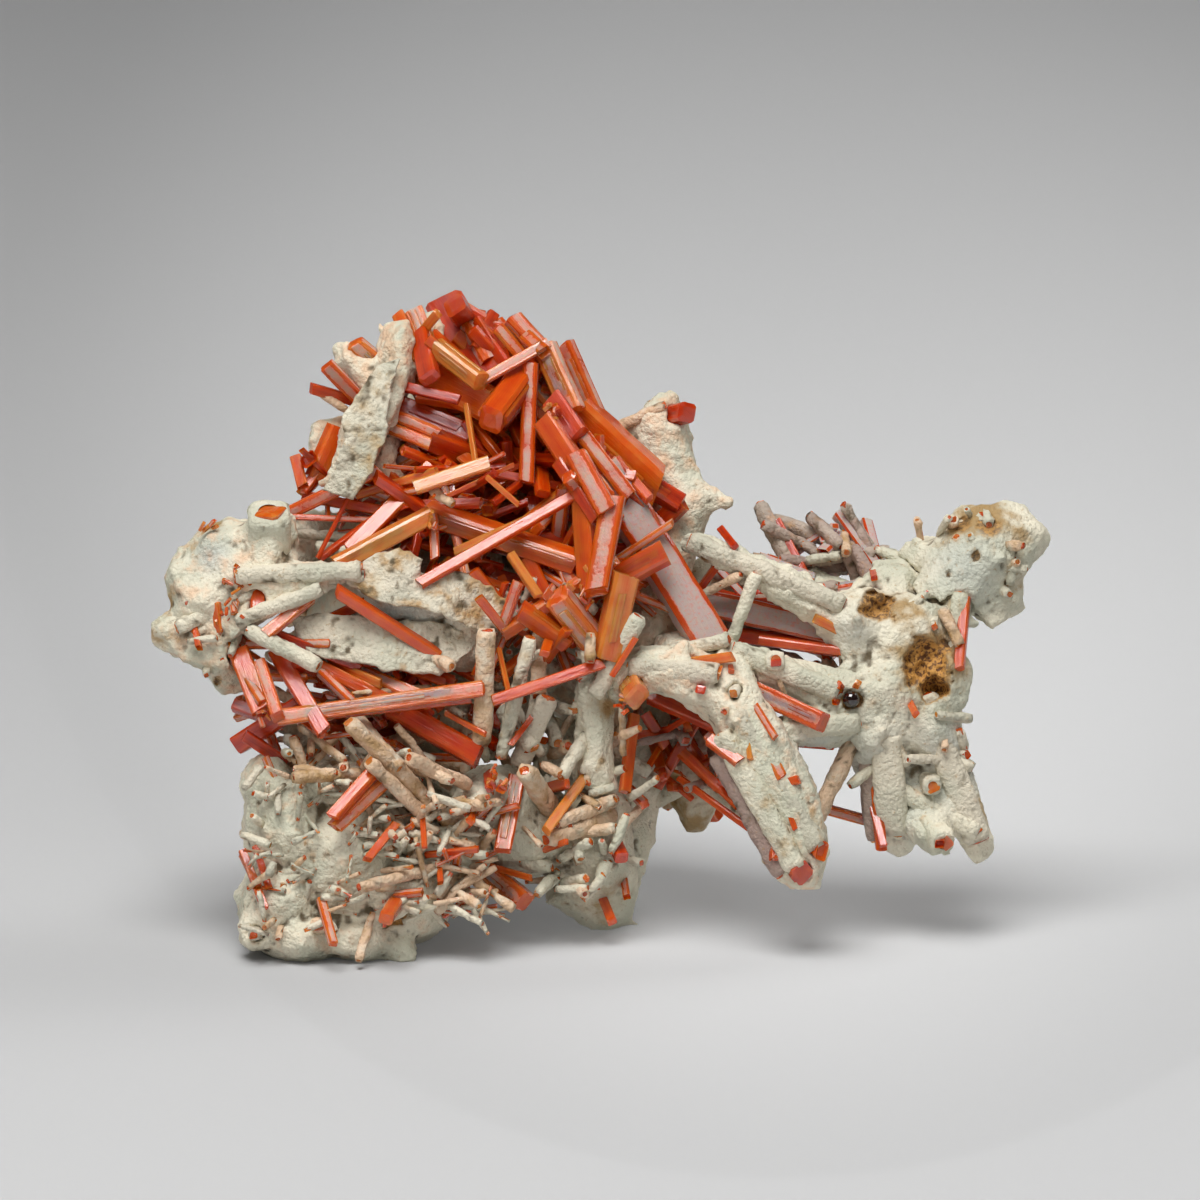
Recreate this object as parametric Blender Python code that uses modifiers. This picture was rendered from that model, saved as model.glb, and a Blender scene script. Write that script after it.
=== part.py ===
"""Crocoite on matrix: a heap of orange-red prisms, grown through and over a pale, branching matrix.

The specimen is drawn as it is seen from the front, looking down on it a little. A place is (across, up, deep)
in millimetres: across from the middle, up from the lowest point of the block, and deep, away from the eye.
"""

import math

import bmesh
import bpy
from mathutils import Matrix, Vector, noise

MM = 0.001
VIEW_TILT = math.radians(12)  # how far the drawing looks down on the specimen
REST_HEIGHT = 2.95  # where the underside is flat, in the drawing's own height, in mm
GAP = 0.35  # between a crystal and its socket, in mm
PARTING = 0.6  # between two limbs of the matrix, in mm, before both are cut down to facets
VOXEL = 0.8  # grain of the fused matrix, in mm
LUMP_SIZE = 4.0  # spacing of the swellings of the matrix, in mm
LUMP_HEIGHT = 1.3  # from their hollows to their crests, in mm
FACET = 2.8  # typical side of the matrix's facets, in mm
BROAD = 2.0  # crystals from this width on, in mm, have six sides
MOST_BODIES = 48  # of the crystals' closed bodies, so many of the largest are kept
CENTRE = (0.15, 7.4)  # the middle of the specimen's outline on the ground, in mm

# The matrix, limb by limb, from the first that stays whole to the last that is parted from those before it.
# A lump is a place and its three radii. An arm is a run of places, each with its radius.
LUMPS = {
    "matrix_block": [
        ((-25.5, 11.0, 0.0), (9.5, 9.0, 12.5)),
        ((-31.5, 14.0, -4.0), (4.5, 6.5, 8.0)),
        ((-32.0, 6.5, -4.5), (4.2, 4.5, 8.5)),
        ((-20.0, 8.0, -3.5), (5.5, 5.5, 8.5)),
        ((-15.5, 12.5, -3.0), (4.8, 4.5, 8.0)),
        ((-30.0, 3.2, -6.0), (4.5, 2.6, 7.0)),
        ((-24.5, 3.0, -5.0), (4.5, 2.6, 7.5)),
        ((-34.3, 4.0, -9.5), (2.0, 2.4, 2.4)),
        ((-20.0, 1.5, -9.0), (1.3, 1.7, 1.6)),
        ((-33.5, 18.5, -6.0), (2.6, 3.0, 4.5)),
        ((-25.0, 18.0, -3.0), (7.5, 3.2, 8.0)),
        ((-24.0, 13.0, 11.0), (9.5, 8.0, 8.0)),
        ((-24.0, 9.0, 14.0), (7.5, 5.5, 6.0)),
    ],
    "matrix_trunk": [
        ((-8.0, 14.0, 0.0), (6.0, 4.5, 7.0)),
        ((-10.5, 16.5, -4.0), (4.5, 4.0, 5.5)),
        ((-1.0, 11.5, 2.5), (4.6, 5.5, 7.0)),
        ((0.3, 7.5, 5.0), (3.6, 4.0, 6.0)),
        ((-3.2, 7.8, 3.0), (2.0, 1.8, 3.5)),
        ((-0.6, 11.0, 15.0), (3.8, 5.0, 9.0)),
        ((-0.2, 14.0, 21.0), (3.8, 6.7, 6.7)),
        ((0.8, 22.0, 18.0), (6.2, 5.5, 5.5)),
    ],
    "matrix_vug_wall": [
        ((-12.0, 50.5, 15.0), (11.5, 12.0, 4.5)),
        ((-17.0, 44.0, 13.0), (9.0, 8.0, 5.0)),
        ((0.0, 42.0, 12.0), (9.0, 10.0, 5.0)),
        ((-2.0, 32.0, 13.0), (9.0, 7.0, 6.0)),
    ],
    "matrix_left_plate": [
        ((-22.0, 52.0, 4.5), (2.8, 8.0, 7.0)),
        ((-20.3, 62.0, 1.0), (2.2, 3.6, 3.6)),
        ((-25.0, 61.3, 1.0), (2.0, 1.8, 2.0)),
        ((-27.6, 52.4, 1.0), (1.3, 2.4, 2.0)),
    ],
    "matrix_left_arm": [
        ((-33.3, 43.2, -7.0), (2.7, 3.7, 3.0)),
        ((-37.8, 42.4, -5.0), (3.3, 3.0, 3.4)),
        ((-41.0, 39.0, -5.0), (2.8, 3.2, 3.0)),
        ((-38.5, 37.0, -6.0), (4.5, 3.6, 3.6)),
        ((-43.3, 33.8, -6.0), (1.8, 1.8, 1.8)),
        ((-41.0, 32.4, -6.0), (2.0, 1.7, 1.9)),
        ((-37.5, 31.0, -5.0), (2.4, 2.6, 2.8)),
        ((-37.0, 29.4, -5.0), (1.9, 1.5, 1.7)),
    ],
    "matrix_shelf": [
        ((-21.5, 39.6, -8.0), (3.3, 2.6, 1.6)),
        ((-17.5, 37.3, -7.0), (6.0, 2.2, 2.6)),
        ((-12.5, 36.0, -6.0), (4.5, 2.4, 3.0)),
        ((-22.5, 32.8, -3.0), (9.0, 3.2, 5.5)),
        ((-14.0, 32.5, -4.0), (4.0, 2.6, 4.0)),
        ((-25.5, 45.6, -1.0), (2.6, 1.8, 2.2)),
        ((-20.0, 34.5, 6.0), (10.0, 6.5, 7.5)),
        ((-15.0, 26.5, 6.0), (9.5, 5.5, 7.5)),
    ],
    "matrix_ridge": [],
    "matrix_rear_limb": [
        ((8.0, 24.0, 9.5), (3.8, 4.0, 4.0)),
    ],
    "matrix_star": [
        ((30.5, 33.0, -1.5), (5.0, 5.0, 4.5)),
        ((26.3, 34.8, -2.5), (3.6, 3.6, 3.4)),
        ((29.0, 28.0, -2.5), (5.2, 4.8, 4.0)),
        ((34.3, 29.5, -2.5), (3.4, 4.0, 3.6)),
        ((27.5, 24.5, -3.0), (4.0, 3.6, 3.6)),
        ((32.5, 24.5, -2.0), (3.8, 3.6, 3.4)),
        ((29.5, 38.0, 3.0), (4.0, 3.0, 4.0)),
    ],
    "matrix_horn": [
        ((38.0, 44.8, 3.0), (3.2, 2.1, 3.0)),
        ((43.2, 43.5, 2.0), (2.2, 2.3, 2.2)),
        ((41.0, 38.0, 1.0), (2.4, 2.6, 2.4)),
        ((33.6, 41.2, 4.5), (3.4, 1.9, 3.2)),
    ],
}
ARMS = {
    "matrix_trunk": [
        [(-0.2, 28.6, -5.0, 1.9), (-0.6, 25.0, -5.0, 1.6), (-0.8, 21.0, -4.5, 1.9), (0.0, 16.0, -2.0, 2.6)],
        [(5.6, 24.0, 9.0, 2.0), (4.0, 17.0, 8.0, 1.8), (3.0, 11.5, 7.0, 1.7), (2.2, 6.8, 6.5, 1.6)],
    ],
    "matrix_vug_wall": [
        [(-19.5, 63.5, 5.0, 2.2), (-15.2, 65.0, 7.0, 2.2), (-10.6, 62.6, 8.0, 2.4), (-6.0, 58.6, 6.0, 2.4),
         (-1.6, 54.2, 5.0, 2.4), (3.4, 51.8, 5.0, 2.6)],
        [(6.0, 54.5, 4.0, 2.4), (7.3, 50.0, 4.0, 2.8), (8.0, 46.5, 3.0, 2.9), (7.2, 42.5, 2.0, 2.6),
         (6.0, 38.0, 2.0, 2.6), (5.5, 34.0, 1.0, 2.4)],
        [(5.2, 54.5, 4.0, 1.8), (6.6, 57.1, 4.0, 1.3)],
        [(8.5, 48.3, 3.0, 1.0), (12.2, 47.3, 2.0, 1.1)],
        [(6.0, 52.0, 5.0, 2.5), (0.0, 48.0, 11.0, 3.5)],
        [(7.0, 44.0, 3.0, 2.8), (3.0, 40.0, 10.0, 3.5)],
    ],
    "matrix_left_plate": [
        [(-20.3, 60.5, -2.0, 1.5), (-22.0, 57.5, -3.0, 2.0), (-23.8, 54.0, -4.0, 2.2), (-25.3, 50.8, -4.0, 1.9),
         (-26.8, 48.3, -4.0, 1.2)],
        [(-23.0, 59.0, 0.0, 1.6), (-25.2, 61.2, 1.0, 1.5)],
        [(-23.0, 54.5, 3.0, 2.0), (-27.6, 54.0, 1.0, 1.4), (-28.6, 50.2, 0.0, 1.0)],
    ],
    "matrix_left_arm": [
        [(-37.5, 40.0, -8.0, 1.6), (-33.0, 39.6, -9.0, 1.5), (-29.0, 39.6, -9.3, 1.5), (-26.2, 39.8, -9.3, 1.3)],
        [(-36.8, 34.8, -9.0, 1.3), (-32.5, 37.4, -9.3, 1.2), (-28.5, 39.3, -9.3, 1.2)],
        [(-39.5, 35.0, -7.0, 1.4), (-38.3, 31.0, -8.0, 1.2)],
        [(-37.0, 40.5, -3.5, 3.2), (-31.0, 42.5, 3.0, 3.4), (-25.5, 42.0, 8.0, 3.6)],
    ],
    "matrix_ridge": [
        [(1.5, 29.3, -6.0, 1.8), (5.5, 30.2, -7.5, 2.5), (9.5, 29.2, -8.0, 2.7), (13.3, 27.0, -8.5, 2.8),
         (16.3, 22.5, -9.3, 3.0), (18.8, 17.5, -9.8, 2.9), (20.6, 13.0, -10.0, 2.5), (20.8, 9.4, -10.0, 1.7)],
        [(17.2, 15.5, -8.5, 2.3), (19.0, 10.6, -8.5, 1.8)],
        [(9.0, 30.0, -6.0, 2.6), (8.0, 31.5, -1.0, 2.7), (5.5, 31.0, 7.0, 3.0)],
        [(12.6, 32.2, -6.0, 1.6), (13.4, 29.5, -7.5, 2.0)],
    ],
    "matrix_rear_limb": [
        [(6.5, 27.5, 10.0, 2.6), (9.0, 20.5, 11.0, 2.6), (9.9, 16.8, 11.5, 2.1), (9.8, 14.8, 12.0, 1.4)],
    ],
    "matrix_star": [
        [(9.2, 43.2, -3.5, 1.3), (16.0, 40.3, -3.5, 1.6), (22.0, 36.8, -3.0, 1.9), (26.0, 34.8, -2.5, 2.6)],
        [(14.6, 31.2, -6.0, 1.7), (18.0, 30.0, -5.5, 1.9), (23.0, 28.2, -5.0, 2.1), (27.0, 27.0, -4.0, 2.5)],
        [(18.0, 24.0, -8.0, 1.7), (21.5, 24.0, -6.5, 1.8), (25.5, 25.0, -4.0, 2.4)],
        [(28.6, 22.5, -1.5, 3.3), (29.6, 17.5, 0.0, 2.7), (30.2, 13.8, 0.5, 2.3)],
        [(33.2, 26.0, -2.0, 2.4), (35.5, 20.0, -1.5, 2.3), (37.4, 14.2, -1.0, 1.9), (38.3, 11.8, -1.0, 1.3)],
        [(30.0, 18.4, -1.0, 1.8), (33.5, 16.8, -2.0, 1.6), (37.6, 14.2, -2.0, 1.6)],
        [(31.8, 15.4, -1.0, 1.8), (34.2, 13.2, -5.0, 1.6)],
        [(28.0, 36.0, 2.0, 3.0), (19.0, 37.5, 6.5, 2.5), (11.0, 39.0, 8.5, 2.6)],
        [(34.5, 30.5, -3.0, 1.6), (35.8, 34.0, -2.0, 1.2), (36.0, 37.0, -1.0, 1.4)],
    ],
    "matrix_horn": [
        [(34.0, 37.2, 0.0, 2.8), (37.3, 40.3, 1.0, 4.0), (40.0, 42.6, 2.0, 4.2), (41.8, 44.3, 3.0, 2.8)],
        [(39.3, 37.0, 0.0, 1.2), (39.6, 34.9, 0.0, 0.8)],
    ],
}

# The crystals, by the part of the specimen where they lie: root, tip, width in mm.
CRYSTALS = {
    "crown": [
        ((-15.5, 67.0, 8.0), (-10.8, 58.8, 1.0), 4.2),
        ((-20.0, 61.6, 3.0), (-10.6, 56.6, -2.0), 3.8),
        ((-6.4, 61.8, 1.0), (-11.0, 55.4, -6.0), 2.7),
        ((-5.2, 63.2, -2.0), (-12.6, 59.0, -4.0), 1.2),
        ((-17.4, 63.6, -2.0), (-11.6, 59.0, -3.0), 1.2),
        ((-14.5, 66.9, 5.0), (-6.2, 61.8, 3.0), 1.9),
        ((-18.8, 66.4, 3.0), (-16.6, 61.0, -1.0), 2.0),
        ((-20.4, 66.0, 3.0), (-18.2, 61.4, -1.0), 1.4),
        ((-18.2, 64.0, 1.0), (-17.2, 59.6, -4.0), 2.2),
        ((-12.4, 65.2, 4.0), (-9.4, 60.6, 0.0), 1.8),
        ((-13.6, 65.6, 6.0), (-14.7, 67.0, -1.0), 2.2),
        ((-5.6, 62.8, -1.0), (-2.7, 56.3, -3.5), 2.6),
        ((-5.8, 62.2, 1.0), (-2.2, 55.8, 0.0), 2.2),
    ],
    "vug": [
        ((-22.0, 57.2, 1.0), (-13.6, 53.8, 0.0), 2.4),
        ((-21.6, 56.2, -1.0), (-16.4, 54.0, -2.5), 1.3),
        ((-21.6, 54.7, -1.5), (-17.2, 52.9, -3.0), 1.3),
        ((-17.2, 53.4, -2.0), (-9.2, 50.4, 1.0), 2.4),
        ((-21.0, 50.6, 2.0), (-17.4, 52.6, -2.0), 2.8),
        ((-9.6, 53.2, 0.0), (-9.1, 48.0, 1.0), 1.2),
        ((-7.0, 61.2, -2.0), (-7.4, 49.2, -4.0), 1.6),
        ((-11.2, 51.0, -8.0), (-18.6, 48.5, -9.0), 1.5),
        ((-16.4, 45.4, -4.0), (-22.6, 49.6, -6.0), 1.2),
        ((-17.0, 50.6, -3.0), (-25.2, 42.2, -7.0), 1.8),
        ((-17.0, 45.8, -7.5), (-26.4, 40.8, -9.0), 1.7),
        ((-30.0, 47.7, -2.0), (-15.6, 45.0, -4.0), 1.1),
        ((-2.4, 41.0, -7.0), (-17.2, 46.0, -5.0), 2.2),
        ((-1.8, 48.2, -7.0), (-18.2, 38.8, -11.0), 1.2),
        ((-4.0, 48.6, -2.0), (-12.4, 50.4, -3.0), 1.0),
        ((0.6, 43.6, -2.0), (-11.0, 43.4, -3.0), 1.3),
        ((-31.4, 46.0, -3.0), (-22.2, 50.4, -5.0), 1.4),
        ((-31.0, 44.0, -2.0), (-23.6, 43.4, -3.0), 1.0),
        ((-28.6, 42.6, -3.0), (-23.2, 42.0, -6.0), 1.3),
        ((-24.0, 57.2, 0.0), (-27.6, 60.9, -3.0), 1.5),
        ((-23.6, 57.0, 1.0), (-29.2, 58.6, -2.0), 1.1),
        ((-20.6, 59.6, 2.0), (-24.8, 63.2, 0.0), 1.7),
        ((-26.6, 54.8, -1.0), (-28.9, 49.4, -2.0), 1.8),
        ((-26.2, 52.4, -1.0), (-30.2, 47.8, -1.5), 1.3),
    ],
    "spill": [
        ((-2.8, 56.4, 0.0), (5.8, 48.4, -1.0), 4.4),
        ((-1.0, 52.6, -2.0), (8.2, 46.8, -2.0), 2.0),
        ((-4.8, 57.4, -3.0), (-2.2, 53.6, -5.5), 2.6),
        ((-3.4, 55.8, -4.5), (3.0, 47.4, -6.0), 1.7),
        ((-5.6, 55.4, -5.0), (0.0, 46.8, -8.0), 2.4),
        ((-2.4, 51.9, -8.0), (0.7, 46.2, -10.0), 2.2),
        ((-4.2, 51.2, -6.5), (-0.2, 45.2, -9.0), 1.5),
        ((0.2, 50.6, -4.0), (11.2, 32.8, -5.0), 3.9),
        ((-0.4, 38.2, -7.0), (6.6, 42.0, -8.5), 2.4),
        ((-1.9, 48.6, -7.0), (-1.2, 38.4, -9.0), 2.2),
        ((1.4, 47.6, -9.0), (-0.4, 38.0, -11.0), 2.4),
        ((2.5, 39.8, -10.0), (0.7, 31.6, -9.0), 2.7),
        ((4.0, 35.6, -10.0), (-0.6, 27.6, -8.0), 1.8),
        ((0.8, 31.2, -7.0), (-4.3, 37.6, -10.0), 2.6),
        ((-1.0, 39.6, -8.5), (-9.8, 33.8, -9.5), 1.4),
        ((-3.2, 32.8, -8.5), (-8.0, 36.2, -10.0), 1.8),
        ((5.0, 44.0, 0.0), (8.4, 47.2, -2.0), 1.9),
        ((-6.0, 34.2, -6.0), (-6.2, 27.6, -7.5), 1.7),
        ((-11.9, 22.6, -9.0), (-11.4, 34.2, -12.0), 2.0),
        ((-10.0, 21.4, -9.0), (-7.0, 33.4, -11.0), 1.5),
        ((0.2, 30.8, -9.5), (-10.8, 27.1, -12.6), 1.2),
        ((-8.2, 20.6, -6.0), (-5.2, 27.4, -8.0), 2.2),
        ((-9.8, 34.4, -9.5), (-8.2, 39.0, -11.0), 1.1),
        ((-9.6, 34.2, -9.5), (-12.2, 37.5, -12.0), 1.0),
    ],
    "left": [
        ((-11.8, 28.3, -11.4), (-32.2, 25.4, -12.2), 1.7),
        ((-32.6, 32.0, -8.0), (-27.7, 24.0, -13.4), 1.7),
        ((-33.0, 34.0, -9.5), (-24.2, 30.4, -8.5), 1.0),
        ((-29.2, 31.0, -8.0), (-20.0, 26.4, -10.0), 1.4),
        ((-25.4, 30.4, -7.0), (-17.2, 27.0, -10.0), 1.5),
        ((-16.2, 31.6, -9.0), (-26.4, 38.1, -11.2), 1.2),
        ((-22.8, 37.4, -5.0), (-28.7, 34.6, -8.0), 1.0),
        ((-35.4, 34.3, -10.0), (-28.2, 30.5, -12.6), 1.6),
        ((-36.4, 32.0, -8.0), (-34.0, 26.2, -12.0), 2.7),
        ((-34.2, 30.8, -9.5), (-32.3, 25.5, -13.4), 1.4),
        ((-36.5, 22.6, -5.0), (-30.2, 26.6, -8.6), 2.0),
        ((-21.0, 26.4, -8.0), (-12.2, 21.4, -9.0), 2.3),
        ((-29.2, 37.4, -9.5), (-33.6, 33.7, -11.0), 1.4),
        ((-34.4, 39.4, -8.0), (-34.5, 35.9, -10.2), 1.4),
        ((-33.4, 44.6, -5.5), (-33.0, 46.6, -10.4), 2.6),
        ((-29.2, 39.7, -9.0), (-23.6, 39.7, -10.2), 1.6),
    ],
    "block": [
        ((-14.6, 14.4, -9.0), (-25.2, 25.0, -14.4), 1.7),
        ((-17.2, 15.0, -10.0), (-23.2, 21.0, -14.6), 1.5),
        ((-13.2, 18.6, -9.0), (-19.2, 21.4, -14.2), 1.4),
        ((-22.4, 20.4, -13.0), (-26.8, 15.5, -15.6), 1.4),
        ((-21.4, 19.2, -12.0), (-26.6, 14.4, -15.0), 1.4),
        ((-24.0, 19.8, -11.5), (-30.8, 19.4, -14.2), 1.2),
        ((-20.4, 7.0, -11.0), (-21.4, 5.4, -16.6), 1.9),
        ((-28.0, 7.2, -12.0), (-26.7, 2.8, -16.2), 1.2),
        ((-16.0, 10.4, -10.0), (-24.2, 8.4, -15.0), 1.2),
        ((-22.8, 5.8, -12.0), (-24.2, 1.0, -14.0), 1.3),
        ((-34.0, 4.0, -8.0), (-34.8, 3.6, -12.6), 1.4),
        ((-36.0, 12.0, -9.0), (-33.6, 6.2, -13.0), 1.2),
        ((-8.4, 19.2, -7.0), (-9.8, 12.0, -10.6), 1.8),
        ((-4.6, 15.6, -5.0), (-7.6, 20.2, -12.0), 1.9),
        ((-1.2, 19.8, -5.0), (-5.4, 14.0, -9.8), 1.1),
        ((1.6, 17.0, -4.0), (-4.4, 14.8, -8.4), 1.4),
        ((1.4, 15.6, -3.5), (-5.4, 13.0, -8.8), 1.6),
        ((-12.0, 10.4, -2.0), (-7.6, 6.8, -6.0), 2.2),
        ((1.0, 13.6, -2.0), (2.2, 11.2, -6.4), 1.3),
        ((-1.2, 23.8, -5.0), (-4.0, 19.4, -8.6), 1.3),
    ],
    "ridge": [
        ((5.0, 27.4, -1.0), (12.8, 24.0, -2.6), 1.3),
        ((10.4, 26.0, 2.0), (5.8, 18.2, 4.0), 1.2),
        ((8.2, 21.8, 1.0), (14.4, 16.0, 0.0), 1.0),
        ((8.4, 20.8, 5.0), (17.4, 13.4, -4.0), 1.9),
        ((10.8, 23.6, -6.0), (16.8, 18.2, -10.0), 1.1),
        ((20.2, 14.2, -7.5), (22.3, 12.0, -12.6), 1.9),
        ((18.8, 11.4, -7.0), (20.3, 9.8, -12.6), 2.1),
        ((17.0, 17.2, -8.5), (17.6, 11.2, -11.6), 1.1),
        ((14.8, 28.4, -7.0), (22.4, 24.9, -11.0), 2.1),
        ((2.8, 29.4, -5.5), (3.7, 27.5, -11.6), 2.5),
        ((7.0, 32.0, -6.5), (13.0, 33.2, -8.0), 1.4),
        ((8.2, 30.8, -8.5), (13.3, 31.5, -10.6), 1.1),
        ((3.4, 25.6, -3.0), (2.5, 17.8, -5.0), 1.1),
        ((14.6, 29.4, -5.0), (13.4, 27.8, -11.8), 1.3),
    ],
    "star": [
        ((26.4, 33.4, -1.5), (9.6, 37.2, 0.0), 2.1),
        ((28.0, 31.6, -2.0), (10.6, 34.2, 1.0), 1.4),
        ((26.0, 35.0, 1.0), (15.0, 38.2, 2.0), 1.3),
        ((13.0, 32.4, -4.5), (15.8, 39.9, -5.6), 1.3),
        ((17.2, 30.4, -4.0), (17.7, 31.2, -9.2), 2.0),
        ((27.4, 23.0, -3.0), (28.4, 12.0, -3.6), 1.1),
        ((28.8, 14.4, -0.5), (23.0, 16.0, 0.0), 1.0),
        ((26.0, 24.2, -4.0), (21.7, 15.0, -6.4), 1.6),
        ((36.9, 37.4, -3.0), (36.2, 30.2, -5.4), 1.1),
        ((21.6, 37.2, 4.0), (16.2, 46.9, 8.0), 1.6),
        ((28.0, 41.6, 5.0), (17.6, 45.4, 8.6), 1.5),
        ((29.0, 36.6, 1.0), (25.7, 42.6, 4.0), 1.4),
        ((28.8, 38.6, 1.0), (22.6, 37.6, 3.0), 2.0),
        ((33.6, 13.9, -3.0), (34.7, 12.4, -7.4), 1.6),
        ((33.0, 19.2, 0.0), (33.6, 18.4, -5.0), 2.1),
        ((6.4, 55.6, 4.5), (8.8, 56.2, 1.0), 1.9),
    ],
}


def seen(across, up, deep):
    """A place in the drawing, in mm, as a point of the standing specimen, in metres."""
    tilted = Vector(
        (
            across,
            up * math.sin(VIEW_TILT) + deep * math.cos(VIEW_TILT),
            up * math.cos(VIEW_TILT) - deep * math.sin(VIEW_TILT),
        )
    )
    return (tilted - Vector((CENTRE[0], CENTRE[1], REST_HEIGHT))) * MM


def clear_scene():
    for old in list(bpy.data.objects):
        bpy.data.objects.remove(old, do_unlink=True)


def new_collection(name):
    made = bpy.data.collections.new(name)
    bpy.context.scene.collection.children.link(made)
    return made


def finish_of(name, colour, roughness):
    """A plain finish: a mineral with no metal in it."""
    made = bpy.data.materials.new(name)
    made.use_nodes = True
    shader = made.node_tree.nodes["Principled BSDF"]
    shader.inputs["Base Color"].default_value = (*colour, 1.0)
    shader.inputs["Roughness"].default_value = roughness
    shader.inputs["Metallic"].default_value = 0.0
    return made


def object_of(name, shape, collection):
    """An object in the collection from a bmesh, which is freed, or from a mesh."""
    if isinstance(shape, bmesh.types.BMesh):
        mesh = bpy.data.meshes.new(name)
        shape.to_mesh(mesh)
        shape.free()
    else:
        mesh = shape
    made = bpy.data.objects.new(name, mesh)
    collection.objects.link(made)
    return made


def hidden(cutter):
    cutter.hide_render = True
    cutter.display_type = "WIRE"
    return cutter


def evaluated_mesh(source):
    bpy.context.view_layer.update()
    return bpy.data.meshes.new_from_object(source.evaluated_get(bpy.context.evaluated_depsgraph_get()))


def add_lump(shape, place, radii, extra):
    """An ellipsoid that leans with the drawing, larger by extra all round."""
    size = Matrix.Diagonal(Vector([(r + extra) * MM for r in radii]))
    # The radii go across, up and deep, and the drawing's own axes turn them with the specimen.
    axes = Matrix(
        (
            (1.0, 0.0, 0.0),
            (0.0, math.sin(VIEW_TILT), math.cos(VIEW_TILT)),
            (0.0, math.cos(VIEW_TILT), -math.sin(VIEW_TILT)),
        )
    )
    turn = (axes @ size).to_4x4()
    bmesh.ops.create_icosphere(shape, subdivisions=3, radius=1.0, matrix=Matrix.Translation(seen(*place)) @ turn)


def add_arm(shape, stations, extra):
    """A run of cones with a ball at each station, larger by extra all round."""
    for station in stations:
        add_lump(shape, station[:3], (station[3],) * 3, extra)
    for first, last in zip(stations, stations[1:]):
        start, end = seen(*first[:3]), seen(*last[:3])
        along = end - start
        turn = along.to_track_quat("Z", "Y").to_matrix().to_4x4()
        bmesh.ops.create_cone(
            shape,
            cap_ends=True,
            segments=16,
            radius1=(first[3] + extra) * MM,
            radius2=(last[3] + extra) * MM,
            depth=along.length,
            matrix=Matrix.Translation((start + end) / 2) @ turn,
        )


def swell(mesh):
    """Moves each point along its normal, so that the matrix is lumpy and not turned."""
    for vertex in mesh.vertices:
        wave = noise.noise(vertex.co / (LUMP_SIZE * MM))
        vertex.co += vertex.normal * wave * LUMP_HEIGHT / 2 * MM


def fused_limb(name, label, collection, extra=0.0):
    """One limb of the matrix: its lumps and arms fused, swollen and cut down to plain facets."""
    shape = bmesh.new()
    for place, radii in LUMPS.get(name, []):
        add_lump(shape, place, radii, extra)
    for stations in ARMS.get(name, []):
        add_arm(shape, stations, extra)
    limb = object_of(label, shape, collection)
    fuse = limb.modifiers.new("fuse", "REMESH")
    fuse.mode = "VOXEL"
    fuse.voxel_size = VOXEL * MM
    limb.data = evaluated_mesh(limb)
    limb.modifiers.clear()
    swell(limb.data)
    area = sum(face.area for face in limb.data.polygons) / MM**2
    thin = limb.modifiers.new("facets", "DECIMATE")
    thin.ratio = min(1.0, area / (FACET**2 / 2) / (2 * len(limb.data.polygons)))
    limb.data = evaluated_mesh(limb)
    limb.modifiers.clear()
    return limb


def prism(name, root, tip, width, collection, number, extra=0.0):
    """A crystal: a long prism with slanted ends. Narrow ones have four sides and broad ones six."""
    sides = 6 if width >= BROAD else 4
    start, end = seen(*root), seen(*tip)
    along = (end - start).normalized()
    start, end = start - along * extra * MM, end + along * extra * MM
    radius = (width / 2 + extra / math.cos(math.pi / sides)) * MM
    radius /= math.cos(math.pi / sides) ** 0.5
    shape = bmesh.new()
    bmesh.ops.create_cone(
        shape, cap_ends=True, segments=sides, radius1=radius, radius2=radius, depth=(end - start).length
    )
    flat = 0.78 + 0.2 * math.sin(number * 2.4)  # the breadth across, as a share of the width
    slant = 0.45 * math.sin(number * 1.7), 0.45 * math.cos(number * 2.9)
    for vertex in shape.verts:
        reach = 1.0 if vertex.co.z > 0 else 0.4
        vertex.co.z += reach * (slant[0] * vertex.co.x + slant[1] * vertex.co.y)
        vertex.co.y *= flat
    twist = Matrix.Rotation(number * 0.9, 4, "Z")
    turn = (end - start).to_track_quat("Z", "Y").to_matrix().to_4x4()
    shape.transform(Matrix.Translation((start + end) / 2) @ turn @ twist)
    return object_of(name, shape, collection)


def boolean(target, operation, collection):
    """Cuts or joins everything in the collection, and keeps the result as the target's mesh."""
    joint = target.modifiers.new("boolean", "BOOLEAN")
    joint.operation = operation
    joint.operand_type = "COLLECTION"
    joint.collection = collection
    joint.solver = "EXACT"
    target.data = evaluated_mesh(target)
    target.modifiers.clear()


def loose_bodies(mesh):
    """The closed bodies that a mesh holds, each as its own bmesh, largest first."""
    whole = bmesh.new()
    whole.from_mesh(mesh)
    bmesh.ops.triangulate(whole, faces=whole.faces)
    whole.verts.ensure_lookup_table()
    body_of = {}
    for seed in whole.verts:
        if seed.index in body_of:
            continue
        reached = [seed]
        body_of[seed.index] = seed.index
        while reached:
            for edge in reached.pop().link_edges:
                for other in edge.verts:
                    if other.index not in body_of:
                        body_of[other.index] = seed.index
                        reached.append(other)
    found = []
    for number in sorted(set(body_of.values())):
        body = whole.copy()
        body.verts.ensure_lookup_table()
        others = [v for v in body.verts if body_of[v.index] != number]
        bmesh.ops.delete(body, geom=others, context="VERTS")
        found.append(body)
    whole.free()
    return sorted(found, key=lambda body: -body.calc_volume())


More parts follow.
